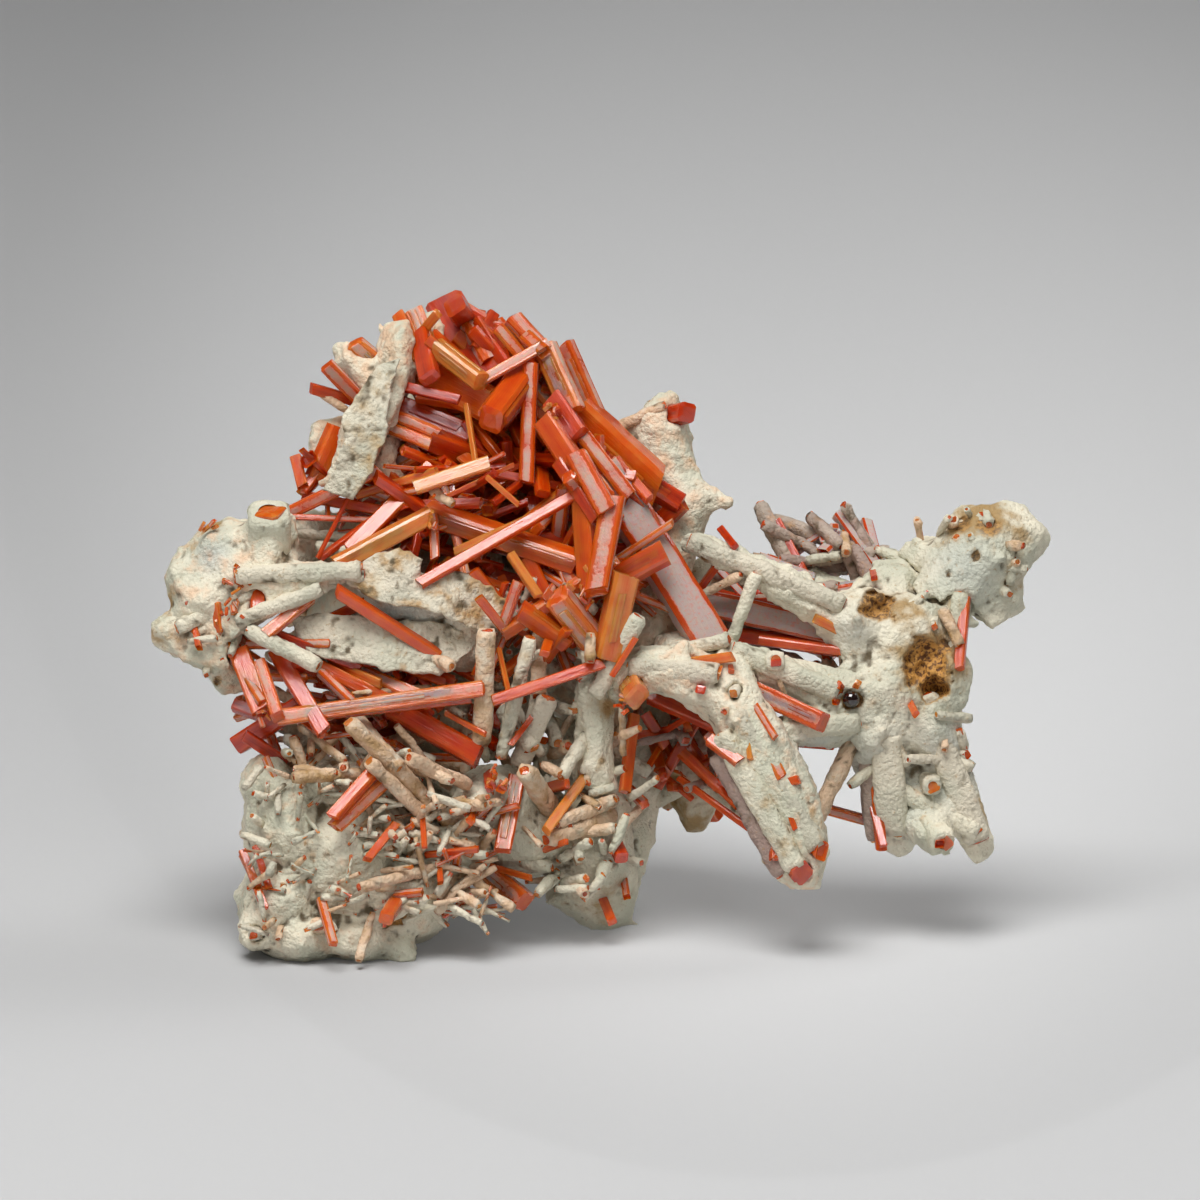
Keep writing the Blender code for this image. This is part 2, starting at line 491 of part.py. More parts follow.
def build_crystals(collection, cutters, sockets, finish):
    """All crystals joined where they overlap: each closed body that results is one object."""
    rows = [(region, *row) for region, found in CRYSTALS.items() for row in found]
    prisms = []
    for number, (region, root, tip, width) in enumerate(rows):
        prisms.append(prism(f"{region}_{number}", root, tip, width, cutters, number))
        prism(f"socket_{number}", root, tip, width, sockets, number, extra=GAP)
    heap = prisms[0]
    cutters.objects.unlink(heap)
    collection.objects.link(heap)
    boolean(heap, "UNION", cutters)
    middles = [(region, (seen(*root) + seen(*tip)) / 2) for region, root, tip, _ in rows]
    counts = {}
    for body in loose_bodies(heap.data)[:MOST_BODIES]:
        centre = sum((v.co for v in body.verts), Vector()) / len(body.verts)
        region = min(middles, key=lambda found: (found[1] - centre).length)[0]
        counts[region] = counts.get(region, 0) + 1
        made = object_of(f"crocoite_{region}_{counts[region]}", body, collection)
        made.data.materials.append(finish)
    bpy.data.objects.remove(heap, do_unlink=True)


def build_matrix(collection, sockets, finish):
    """The limbs of the matrix, each parted from those before it and hollowed where crystals are rooted in it."""
    ground = new_collection("ground")
    shape = bmesh.new()
    bmesh.ops.create_cube(shape, size=0.2, matrix=Matrix.Translation((0.0, 0.0, -0.1)))
    hidden(object_of("ground", shape, ground))
    parted = new_collection("parted")
    for name in LUMPS:
        limb = fused_limb(name, name, collection)
        boolean(limb, "DIFFERENCE", ground)
        if parted.objects:
            boolean(limb, "DIFFERENCE", parted)
        boolean(limb, "DIFFERENCE", sockets)
        bodies = loose_bodies(limb.data)
        bodies[0].to_mesh(limb.data)
        for body in bodies:
            body.free()
        limb.data.materials.clear()
        limb.data.materials.append(finish)
        hidden(fused_limb(name, name + "_room", parted, extra=PARTING))


def main():
    clear_scene()
    collection = new_collection("crocoite_on_matrix")
    cutters = new_collection("cutters")
    sockets = new_collection("sockets")
    orange = finish_of("crocoite", (0.72, 0.09, 0.01), 0.12)
    pale = finish_of("matrix", (0.62, 0.6, 0.5), 0.7)
    build_crystals(collection, cutters, sockets, orange)
    build_matrix(collection, sockets, pale)
    for helper in [*cutters.objects, *sockets.objects]:
        hidden(helper)


main()
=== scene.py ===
import functools
import math

import bmesh
import bpy
import numpy as np
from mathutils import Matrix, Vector
from mathutils.bvhtree import BVHTree


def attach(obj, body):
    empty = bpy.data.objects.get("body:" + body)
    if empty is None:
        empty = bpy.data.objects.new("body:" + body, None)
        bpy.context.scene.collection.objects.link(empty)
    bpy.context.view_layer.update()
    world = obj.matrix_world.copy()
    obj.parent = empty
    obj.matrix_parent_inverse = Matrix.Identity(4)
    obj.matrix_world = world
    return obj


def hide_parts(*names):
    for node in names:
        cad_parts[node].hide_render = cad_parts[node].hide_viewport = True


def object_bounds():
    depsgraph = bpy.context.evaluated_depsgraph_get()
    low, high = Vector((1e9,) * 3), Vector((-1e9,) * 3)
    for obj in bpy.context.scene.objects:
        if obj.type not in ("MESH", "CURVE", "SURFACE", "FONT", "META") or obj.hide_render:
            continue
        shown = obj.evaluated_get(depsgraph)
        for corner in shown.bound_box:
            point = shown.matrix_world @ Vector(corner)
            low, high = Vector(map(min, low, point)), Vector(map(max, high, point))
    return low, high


bl_info = {
    "name": "Crocoite on matrix",
    "version": (1, 0, 0),
    "blender": (4, 5, 0),
    "location": "View3D > Sidebar > Crocoite",
    "description": "Dresses the packed crocoite specimen: crust, crystals, needles and a plain stage",
    "category": "Add Mesh",
}

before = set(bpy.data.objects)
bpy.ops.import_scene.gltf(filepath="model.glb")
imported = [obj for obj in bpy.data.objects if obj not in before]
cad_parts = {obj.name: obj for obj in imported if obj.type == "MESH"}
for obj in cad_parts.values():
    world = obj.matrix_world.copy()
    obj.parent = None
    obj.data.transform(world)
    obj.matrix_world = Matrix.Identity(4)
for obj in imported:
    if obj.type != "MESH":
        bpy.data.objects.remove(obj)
first_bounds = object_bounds()

MM = 0.001
VIEW_TILT = math.radians(12)  # how far the drawing looks down on the specimen
CENTRE = (0.15, 7.4)  # the middle of the specimen on the ground, in the drawing's mm
REST_HEIGHT = 2.95  # the drawing's zero lies this far under the ground, in mm

ACROSS = np.array((1.0, 0.0, 0.0))
UP = np.array((0.0, math.sin(VIEW_TILT), math.cos(VIEW_TILT)))
DEEP = np.array((0.0, math.cos(VIEW_TILT), -math.sin(VIEW_TILT)))

# A look is (tone, coat, warmth): tone from deep red 0 to gold 1, coat from bare 0 to covered 1, and the
# warmth of that coat from cool white 0 to ochre 1.
LOOKS = {
    "red": (0.18, 0.0, 0.3),
    "orange": (0.46, 0.0, 0.3),
    "gold": (0.8, 0.12, 0.4),
    "rose": (0.5, 0.42, 0.25),
    "frost": (0.3, 0.85, 0.0),
}

# A sheath is the crust that hides a crystal but for its end: (ochre, lilac, blush), each from 0 to 1.
SHEATHS = {
    "tan": (0.25, 0.1, 0.95),
    "white": (0.1, 0.1, 0.15),
    "lilac": (0.1, 0.9, 0.3),
}

# Crystals drawn one by one: (across, up, deep) of the root and of the tip, the width in mm, and the look.
CRYSTALS = {
    "crown": [
        (-15.5, 67.0, 8.0, -10.8, 58.8, 1.0, 4.2, "red"),
        (-20.0, 61.6, 3.0, -10.6, 56.6, -2.0, 3.8, "orange"),
        (-6.4, 61.8, 1.0, -11.0, 55.4, -6.0, 2.7, "orange"),
        (-5.2, 63.2, -2.0, -12.6, 59.0, -4.0, 1.2, "rose"),
        (-17.4, 63.6, -2.0, -11.6, 59.0, -3.0, 1.2, "orange"),
        (-14.5, 66.9, 5.0, -6.2, 61.8, 3.0, 1.9, "red"),
        (-18.8, 66.4, 3.0, -16.6, 61.0, -1.0, 2.0, "rose"),
        (-20.4, 66.0, 3.0, -18.2, 61.4, -1.0, 1.4, "orange"),
        (-18.2, 64.0, 1.0, -17.2, 59.6, -4.0, 2.2, "red"),
        (-12.4, 65.2, 4.0, -9.4, 60.6, 0.0, 1.8, "red"),
        (-13.6, 65.6, 6.0, -14.7, 67.0, -1.0, 2.2, "red"),
        (-5.6, 62.8, -1.0, -2.7, 56.3, -3.5, 2.6, "rose"),
        (-5.8, 62.2, 1.0, -2.2, 55.8, 0.0, 2.2, "red"),
        (-16.5, 62.7, -1.6, -12.0, 59.2, -4.6, 2.0, "gold"),
        (-20.0, 58.8, -2.0, -14.2, 57.4, -4.0, 1.0, "red"),
        (-13.5, 57.0, -3.0, -12.5, 50.7, -5.0, 0.6, "gold"),
        (-7.5, 63.9, 0.0, -5.6, 62.2, -3.0, 1.4, "rose"),
        (-19.2, 63.0, 3.0, -16.4, 66.2, -1.0, 1.0, "gold"),
    ],
    "vug": [
        (-22.0, 57.2, 1.0, -13.6, 53.8, 0.0, 2.4, "red"),
        (-21.6, 56.2, -1.0, -16.4, 54.0, -2.5, 1.3, "rose"),
        (-21.6, 54.7, -1.5, -17.2, 52.9, -3.0, 1.3, "rose"),
        (-17.2, 53.4, -2.0, -9.2, 50.4, 1.0, 2.4, "red"),
        (-21.0, 50.6, 2.0, -17.4, 52.6, -2.0, 2.8, "rose"),
        (-9.6, 53.2, 0.0, -9.1, 48.0, 1.0, 1.2, "red"),
        (-7.0, 61.2, -2.0, -7.4, 49.2, -4.0, 1.6, "rose"),
        (-11.2, 51.0, -8.0, -18.6, 48.5, -9.0, 1.5, "gold"),
        (-16.4, 45.4, -4.0, -22.6, 49.6, -6.0, 1.2, "red"),
        (-17.0, 50.6, -3.0, -25.2, 42.2, -7.0, 1.8, "orange"),
        (-17.0, 45.8, -7.5, -26.4, 40.8, -9.0, 1.7, "gold"),
        (-30.0, 47.7, -2.0, -15.6, 45.0, -4.0, 1.1, "orange"),
        (-2.4, 41.0, -7.0, -17.2, 46.0, -5.0, 2.2, "orange"),
        (-1.8, 48.2, -7.0, -18.2, 38.8, -11.0, 1.2, "orange"),
        (-4.0, 48.6, -2.0, -12.4, 50.4, -3.0, 1.0, "red"),
        (0.6, 43.6, -2.0, -11.0, 43.4, -3.0, 1.3, "red"),
        (-31.4, 46.0, -3.0, -22.2, 50.4, -5.0, 1.4, "rose"),
        (-31.0, 44.0, -2.0, -23.6, 43.4, -3.0, 1.0, "white"),
        (-28.6, 42.6, -3.0, -23.2, 42.0, -6.0, 1.3, "white"),
        (-24.0, 57.2, 0.0, -27.6, 60.9, -3.0, 1.5, "rose"),
        (-23.6, 57.0, 1.0, -29.2, 58.6, -2.0, 1.1, "red"),
        (-20.6, 59.6, 2.0, -24.8, 63.2, 0.0, 1.7, "rose"),
        (-26.6, 54.8, -1.0, -28.9, 49.4, -2.0, 1.8, "orange"),
        (-26.2, 52.4, -1.0, -30.2, 47.8, -1.5, 1.3, "orange"),
        (-25.4, 56.2, -0.5, -29.2, 58.7, -1.5, 0.9, "tan"),
        (-16.8, 45.7, -6.0, -16.6, 41.4, -8.0, 1.0, "rose"),
        (-11.4, 49.6, -8.4, -8.2, 46.8, -9.0, 0.6, "gold"),
        (-17.0, 48.2, -7.4, -14.8, 46.8, -8.6, 1.0, "tan"),
        (-30.8, 51.7, -1.0, -30.0, 48.6, -3.5, 1.2, "orange"),
        (-27.0, 52.2, -1.0, -30.0, 48.2, -3.0, 1.0, "orange"),
        (-29.5, 51.5, 0.0, -29.4, 51.4, -4.0, 1.7, "red"),
        (-14.6, 42.0, -6.0, -7.0, 45.4, -8.0, 0.9, "gold"),
        (-22.0, 46.6, -3.0, -12.0, 47.0, -6.0, 1.0, "red"),
        (-24.5, 47.8, -3.0, -16.4, 50.2, -6.0, 0.9, "gold"),
        (-9.0, 41.8, -8.6, -6.2, 37.6, -9.6, 0.9, "gold"),
    ],
    "spill": [
        (-2.8, 56.4, 0.0, 5.8, 48.4, -1.0, 4.4, "orange"),
        (-1.0, 52.6, -2.0, 8.2, 46.8, -2.0, 2.0, "red"),
        (-4.8, 57.4, -3.0, -2.2, 53.6, -5.5, 2.6, "red"),
        (-3.4, 55.8, -4.5, 3.0, 47.4, -6.0, 1.7, "rose"),
        (-5.6, 55.4, -5.0, 0.0, 46.8, -8.0, 2.4, "orange"),
        (-2.4, 51.9, -8.0, 0.7, 46.2, -10.0, 2.2, "rose"),
        (-4.2, 51.2, -6.5, -0.2, 45.2, -9.0, 1.5, "red"),
        (0.2, 50.6, -4.0, 11.2, 32.8, -5.0, 3.9, "frost"),
        (-0.4, 38.2, -7.0, 6.6, 42.0, -8.5, 2.4, "orange"),
        (-1.9, 48.6, -7.0, -1.2, 38.4, -9.0, 2.2, "orange"),
        (1.4, 47.6, -9.0, -0.4, 38.0, -11.0, 2.4, "rose"),
        (2.5, 39.8, -10.0, 0.7, 31.6, -9.0, 2.7, "gold"),
        (4.0, 35.6, -10.0, -0.6, 27.6, -8.0, 1.8, "white"),
        (0.8, 31.2, -7.0, -4.3, 37.6, -10.0, 2.6, "rose"),
        (-1.0, 39.6, -8.5, -9.8, 33.8, -9.5, 1.4, "orange"),
        (-3.2, 32.8, -8.5, -8.0, 36.2, -10.0, 1.8, "orange"),
        (5.0, 44.0, 0.0, 8.4, 47.2, -2.0, 1.9, "red"),
        (-6.0, 34.2, -6.0, -6.2, 27.6, -7.5, 1.7, "tan"),
        (-6.0, 28.2, -6.0, -7.3, 21.9, -7.0, 1.7, "white"),
        (-1.8, 33.4, -6.0, -1.0, 30.8, -9.0, 1.4, "white"),
        (-11.9, 22.6, -9.0, -11.4, 34.2, -12.0, 2.0, "tan"),
        (-10.0, 21.4, -9.0, -7.0, 33.4, -11.0, 1.5, "white"),
        (0.2, 30.8, -9.5, -10.8, 27.1, -12.6, 1.2, "orange"),
        (-8.2, 20.6, -6.0, -5.2, 27.4, -8.0, 2.2, "white"),
        (-9.8, 34.4, -9.5, -8.2, 39.0, -11.0, 1.1, "rose"),
        (-9.6, 34.2, -9.5, -12.2, 37.5, -12.0, 1.0, "orange"),
        (3.6, 33.4, -10.6, 1.2, 29.6, -10.0, 0.6, "orange"),
        (-5.0, 33.8, -8.0, -5.6, 31.8, -11.0, 1.0, "orange"),
        (-1.0, 33.8, -10.0, -1.0, 31.0, -11.0, 1.2, "tan"),
        (-6.6, 25.8, -8.0, -9.0, 22.6, -10.0, 0.6, "orange"),
        (-10.2, 32.4, -10.6, -9.2, 28.0, -11.6, 0.5, "gold"),
        (0.8, 54.2, 3.0, 6.6, 57.0, 2.0, 1.2, "tan"),
        (-3.4, 36.8, -7.0, 1.6, 41.2, -10.0, 0.9, "rose"),
    ],
    "left": [
        (-11.8, 28.3, -11.4, -32.2, 25.4, -12.2, 1.7, "rose"),
        (-32.6, 32.0, -8.0, -27.7, 24.0, -13.4, 1.7, "red"),
        (-33.0, 34.0, -9.5, -24.2, 30.4, -8.5, 1.0, "red"),
        (-29.2, 31.0, -8.0, -20.0, 26.4, -10.0, 1.4, "orange"),
        (-25.4, 30.4, -7.0, -17.2, 27.0, -10.0, 1.5, "rose"),
        (-16.2, 31.6, -9.0, -26.4, 38.1, -11.2, 1.2, "orange"),
        (-22.8, 37.4, -5.0, -28.7, 34.6, -8.0, 1.0, "red"),
        (-35.4, 34.3, -10.0, -28.2, 30.5, -12.6, 1.6, "white"),
        (-36.6, 39.7, -10.2, -24.0, 40.2, -10.8, 1.9, "white"),
        (-36.6, 35.0, -10.2, -28.0, 38.4, -10.8, 1.6, "white"),
        (-37.0, 37.0, -8.0, -42.6, 34.4, -8.4, 1.6, "white"),
        (-36.4, 32.0, -8.0, -34.0, 26.2, -12.0, 2.2, "orange"),
        (-34.2, 30.8, -9.5, -32.3, 25.5, -13.4, 1.4, "rose"),
        (-36.5, 22.6, -5.0, -30.2, 26.6, -8.6, 2.0, "red"),
        (-21.0, 26.4, -8.0, -12.2, 21.4, -9.0, 2.3, "red"),
        (-29.2, 37.4, -9.5, -33.6, 33.7, -11.0, 1.4, "rose"),
        (-34.4, 39.4, -8.0, -34.5, 35.9, -10.2, 1.4, "orange"),
        (-33.3, 41.6, -6.0, -33.3, 46.2, -9.8, 4.6, "white"),
        (-29.2, 39.7, -9.0, -23.6, 39.7, -10.2, 1.6, "white"),
        (-28.0, 25.5, -11.0, -13.0, 27.2, -10.0, 0.8, "orange"),
        (-15.5, 25.8, -9.0, -11.5, 23.7, -11.0, 0.6, "orange"),
        (-36.8, 31.2, -8.0, -33.9, 26.9, -12.6, 1.0, "rose"),
        (-35.6, 32.7, -8.0, -27.2, 32.8, -9.4, 0.9, "rose"),
        (-27.2, 31.0, -7.0, -22.0, 28.8, -10.0, 1.0, "gold"),
        (-39.8, 30.8, -6.0, -39.6, 29.6, -9.0, 0.8, "white"),
        (-39.5, 33.2, -6.0, -38.0, 31.2, -9.0, 0.7, "white"),
        (-36.0, 34.8, -7.0, -37.2, 31.6, -9.5, 0.8, "white"),
    ],
    "block": [
        (-14.6, 14.4, -9.0, -25.2, 25.0, -14.4, 1.7, "tan"),
        (-17.2, 15.0, -10.0, -23.2, 21.0, -14.6, 1.5, "tan"),
        (-13.2, 18.6, -9.0, -19.2, 21.4, -14.2, 1.4, "tan"),
        (-22.4, 20.4, -13.0, -26.8, 15.5, -15.6, 1.4, "orange"),
        (-21.4, 19.2, -12.0, -26.6, 14.4, -15.0, 1.4, "rose"),
        (-24.0, 19.8, -11.5, -30.8, 19.4, -14.2, 1.2, "tan"),
        (-20.4, 7.0, -11.0, -21.4, 5.4, -16.6, 1.5, "orange"),
        (-28.0, 7.2, -12.0, -26.7, 2.8, -16.2, 0.9, "rose"),
        (-16.0, 10.4, -10.0, -24.2, 8.4, -15.0, 1.2, "tan"),
        (-22.8, 5.8, -12.0, -24.2, 1.0, -14.0, 0.9, "tan"),
        (-34.0, 4.0, -8.0, -34.8, 3.6, -12.6, 1.4, "white"),
        (-36.0, 12.0, -9.0, -33.6, 6.2, -13.0, 0.8, "orange"),
        (-8.4, 19.2, -7.0, -9.8, 12.0, -10.6, 1.8, "rose"),
        (-4.6, 15.6, -5.0, -7.6, 20.2, -12.0, 1.9, "tan"),
        (-1.2, 19.8, -5.0, -5.4, 14.0, -9.8, 1.1, "gold"),
        (1.6, 17.0, -4.0, -4.4, 14.8, -8.4, 1.4, "tan"),
        (1.4, 15.6, -3.5, -5.4, 13.0, -8.8, 1.6, "tan"),
        (-12.0, 10.4, -2.0, -7.6, 6.8, -6.0, 2.2, "rose"),
        (1.0, 13.6, -2.0, 2.2, 11.2, -6.4, 1.3, "red"),
        (-1.2, 23.8, -5.0, -4.0, 19.4, -8.6, 1.3, "white"),
        (-20.5, 14.7, -12.0, -23.3, 11.2, -15.0, 0.9, "orange"),
        (-17.8, 15.2, -12.0, -17.6, 12.4, -14.6, 0.6, "orange"),
        (-17.5, 11.6, -11.0, -12.2, 12.2, -13.0, 0.7, "orange"),
        (-16.2, 11.0, -11.0, -16.0, 8.8, -13.0, 0.6, "orange"),
        (-36.0, 11.6, -9.0, -34.2, 8.2, -12.0, 0.7, "orange"),
        (-34.7, 12.4, -9.0, -33.2, 8.2, -12.6, 0.7, "orange"),
        (-28.4, 4.6, -8.0, -28.2, 4.5, -13.2, 1.6, "tan"),
        (-25.8, 20.5, -8.0, -25.7, 20.4, -13.2, 1.2, "tan"),
        (-31.9, 8.5, -8.0, -31.8, 8.4, -12.2, 1.1, "tan"),
        (-30.7, 20.2, -12.0, -26.4, 19.9, -13.0, 1.0, "tan"),
        (2.0, 23.5, -8.0, 4.0, 24.3, -9.6, 0.9, "tan"),
        (-30.0, 25.2, -8.0, -27.8, 23.7, -12.0, 0.9, "orange"),
        (-30.2, 24.6, -8.0, -25.6, 21.0, -12.0, 0.9, "tan"),
        (-24.4, 25.2, -9.0, -20.0, 20.2, -13.0, 1.4, "tan"),
        (-19.6, 21.2, -10.0, -14.8, 19.0, -13.0, 1.1, "tan"),
        (-17.4, 19.8, -10.0, -16.4, 16.6, -13.6, 0.6, "tan"),
        (-31.6, 20.8, -7.0, -35.8, 23.6, -9.0, 1.2, "red"),
        (-12.8, 17.2, -8.0, -13.0, 15.0, -12.6, 0.8, "orange"),
        (-11.2, 19.6, -7.0, -11.0, 18.4, -11.6, 1.1, "red"),
        (-9.8, 18.8, -7.0, -9.9, 18.2, -11.6, 1.0, "orange"),
        (-8.0, 14.6, -7.0, -5.8, 12.4, -10.0, 0.6, "tan"),
        (-5.6, 12.0, -6.0, -3.4, 12.9, -9.6, 0.6, "orange"),
        (-5.8, 20.6, -7.0, -4.0, 19.7, -9.0, 1.1, "tan"),
        (-5.2, 18.2, -5.0, -3.3, 18.8, -8.4, 1.1, "orange"),
        (0.0, 7.7, 0.0, 1.2, 4.8, -4.6, 1.0, "orange"),
        (2.4, 9.2, 0.0, 2.7, 7.2, -3.4, 0.8, "rose"),
        (-12.0, 10.6, -4.0, -7.0, 9.2, -6.4, 0.7, "orange"),
    ],
    "ridge": [
        (5.0, 27.4, -1.0, 12.8, 24.0, -2.6, 1.3, "red"),
        (10.4, 26.0, 2.0, 5.8, 18.2, 4.0, 1.2, "red"),
        (8.2, 21.8, 1.0, 14.4, 16.0, 0.0, 1.0, "orange"),
        (8.4, 20.8, 5.0, 17.4, 13.4, -4.0, 1.9, "white"),
        (10.8, 23.6, -6.0, 16.8, 18.2, -10.0, 1.1, "rose"),
        (20.2, 14.2, -7.5, 22.3, 12.0, -12.6, 1.9, "orange"),
        (18.8, 11.4, -7.0, 20.3, 9.8, -12.6, 2.1, "red"),
        (17.0, 17.2, -8.5, 17.6, 11.2, -11.6, 1.1, "orange"),
        (14.8, 28.4, -7.0, 22.4, 24.9, -11.0, 2.1, "rose"),
        (2.8, 29.4, -5.5, 3.7, 27.5, -11.6, 2.5, "gold"),
        (13.6, 26.0, -11.0, 21.9, 12.3, -11.6, 2.6, "white"),
        (12.4, 24.0, -11.0, 20.0, 10.3, -11.8, 2.6, "white"),
        (15.0, 27.6, -10.0, 21.2, 16.5, -10.6, 2.2, "white"),
        (11.9, 21.8, -9.6, 18.4, 9.6, -10.6, 2.0, "lilac"),
        (15.6, 24.6, -11.2, 18.2, 19.4, -12.5, 1.2, "rose"),
        (17.2, 18.4, -11.8, 20.0, 19.2, -12.6, 0.9, "orange"),
        (14.7, 24.5, -11.4, 15.1, 21.2, -12.5, 0.6, "gold"),
        (11.0, 23.2, -10.5, 14.0, 20.9, -12.4, 1.2, "orange"),
        (15.6, 26.6, -11.4, 17.6, 23.4, -12.5, 0.8, "rose"),
        (18.4, 17.4, -11.8, 19.6, 14.2, -12.6, 0.6, "orange"),
        (19.2, 18.8, -11.6, 20.4, 15.6, -12.4, 0.4, "red"),
        (3.0, 30.6, -8.4, 12.0, 29.8, -10.6, 2.2, "white"),
        (7.0, 32.0, -6.5, 13.0, 33.2, -8.0, 1.4, "white"),
        (8.2, 30.8, -8.5, 13.3, 31.5, -10.6, 1.1, "gold"),
        (3.4, 25.6, -3.0, 2.5, 17.8, -5.0, 1.1, "orange"),
        (14.6, 29.4, -5.0, 13.4, 27.8, -11.8, 1.3, "white"),
        (11.2, 23.0, 0.0, 14.5, 19.7, -3.0, 1.0, "gold"),
        (9.0, 21.2, -1.0, 14.0, 16.4, -4.0, 0.9, "orange"),
        (8.0, 19.2, 0.0, 15.7, 13.7, -5.0, 0.7, "orange"),
        (12.8, 20.7, -2.0, 12.2, 18.7, -5.0, 0.8, "red"),
        (15.5, 25.7, -9.0, 14.7, 22.2, -12.0, 0.5, "orange"),
        (12.8, 31.7, -7.0, 13.2, 30.0, -10.6, 0.6, "orange"),
        (10.0, 28.6, -7.0, 10.1, 28.2, -12.0, 1.0, "red"),
        (12.5, 26.2, -8.0, 12.5, 26.0, -12.4, 1.0, "tan"),
        (3.0, 18.0, -1.0, 4.5, 16.6, -4.6, 1.0, "rose"),
        (17.8, 13.2, -9.0, 17.6, 11.2, -12.0, 0.7, "orange"),
    ],
    "star": [
        (26.4, 33.4, -1.5, 9.6, 37.2, 0.0, 2.7, "frost"),
        (28.0, 31.6, -2.0, 10.6, 34.2, 1.0, 1.4, "red"),
        (26.0, 35.0, 1.0, 15.0, 38.2, 2.0, 1.3, "red"),
        (13.0, 32.4, -4.5, 15.8, 39.9, -5.6, 1.3, "white"),
        (9.0, 43.2, -4.6, 24.6, 36.7, -4.8, 1.9, "white"),
        (13.3, 32.2, -7.4, 24.0, 27.9, -7.0, 2.2, "white"),
        (16.7, 23.7, -9.2, 26.0, 25.0, -6.2, 2.2, "white"),
        (32.6, 27.6, -3.4, 38.2, 12.8, -2.4, 3.0, "white"),
        (28.8, 24.0, -4.4, 29.6, 13.6, -1.9, 3.4, "white"),
        (26.8, 23.0, -3.6, 27.8, 13.0, -1.6, 2.0, "lilac"),
        (29.6, 18.4, -3.0, 38.2, 13.7, -3.3, 2.0, "white"),
        (35.6, 28.8, -3.4, 36.4, 38.0, -3.0, 1.8, "white"),
        (17.2, 30.4, -4.0, 17.7, 31.2, -9.2, 2.0, "white"),
        (27.4, 23.0, -3.0, 28.4, 12.0, -3.6, 1.1, "orange"),
        (28.8, 14.4, -0.5, 23.0, 16.0, 0.0, 1.0, "rose"),
        (26.0, 24.2, -4.0, 21.7, 15.0, -6.4, 1.6, "tan"),
        (36.9, 37.4, -3.0, 36.2, 30.2, -5.4, 1.1, "orange"),
        (21.6, 37.2, 4.0, 16.2, 46.9, 8.0, 1.6, "lilac"),
        (28.0, 41.6, 5.0, 17.6, 45.4, 8.6, 1.5, "lilac"),
        (29.0, 36.6, 1.0, 25.7, 42.6, 4.0, 1.4, "lilac"),
        (28.8, 38.6, 1.0, 22.6, 37.6, 3.0, 2.0, "frost"),
        (33.0, 14.8, -3.0, 34.7, 12.6, -7.0, 2.6, "white"),
        (33.0, 19.2, 0.0, 33.6, 18.4, -5.0, 2.1, "white"),
        (6.4, 55.6, 4.5, 8.8, 56.2, 1.0, 1.9, "red"),
        (24.6, 33.9, -4.0, 21.6, 35.4, -5.6, 1.0, "gold"),
        (27.2, 31.7, -4.0, 16.0, 33.2, -3.0, 0.9, "orange"),
        (18.0, 29.2, -8.0, 19.8, 24.6, -6.0, 0.5, "tan"),
        (31.2, 27.0, -5.0, 31.8, 25.7, -8.0, 0.8, "orange"),
        (12.2, 44.4, -2.0, 13.6, 42.6, -5.0, 0.8, "red"),
        (10.0, 38.2, -1.0, 11.8, 40.7, -4.0, 0.8, "red"),
        (10.0, 37.5, -2.0, 14.2, 39.8, -5.0, 0.9, "tan"),
        (18.0, 45.2, 7.0, 21.2, 39.0, 4.0, 1.0, "red"),
        (24.8, 44.0, 6.0, 25.0, 42.0, 2.0, 1.0, "tan"),
        (21.0, 41.2, 4.0, 24.4, 41.8, 3.0, 1.0, "white"),
        (28.0, 42.4, 5.0, 33.6, 40.0, 2.0, 1.1, "white"),
        (33.4, 38.4, 0.0, 34.2, 33.2, -4.0, 0.9, "tan"),
        (35.0, 37.6, 0.0, 36.0, 33.0, -4.0, 0.9, "tan"),
        (32.6, 43.2, 4.0, 32.1, 45.4, 2.0, 0.8, "tan"),
        (27.0, 18.4, -2.0, 28.6, 12.4, -5.0, 0.8, "red"),
        (34.4, 14.0, -3.0, 34.2, 12.6, -7.8, 1.0, "red"),
        (28.8, 21.4, -3.0, 25.2, 18.4, -5.0, 0.9, "white"),
        (20.0, 29.4, -4.0, 20.2, 29.0, -7.8, 1.2, "orange"),
        (17.8, 30.6, -6.0, 17.7, 30.9, -9.8, 1.1, "red"),
        (24.6, 27.9, -6.2, 24.0, 28.7, -8.0, 0.8, "orange"),
        (25.6, 28.2, -6.2, 26.0, 28.9, -8.0, 0.7, "gold"),
        (24.2, 27.0, -6.2, 23.6, 26.9, -8.0, 0.6, "orange"),
        (27.6, 40.2, 1.0, 27.7, 39.4, -3.0, 0.7, "orange"),
    ],
}

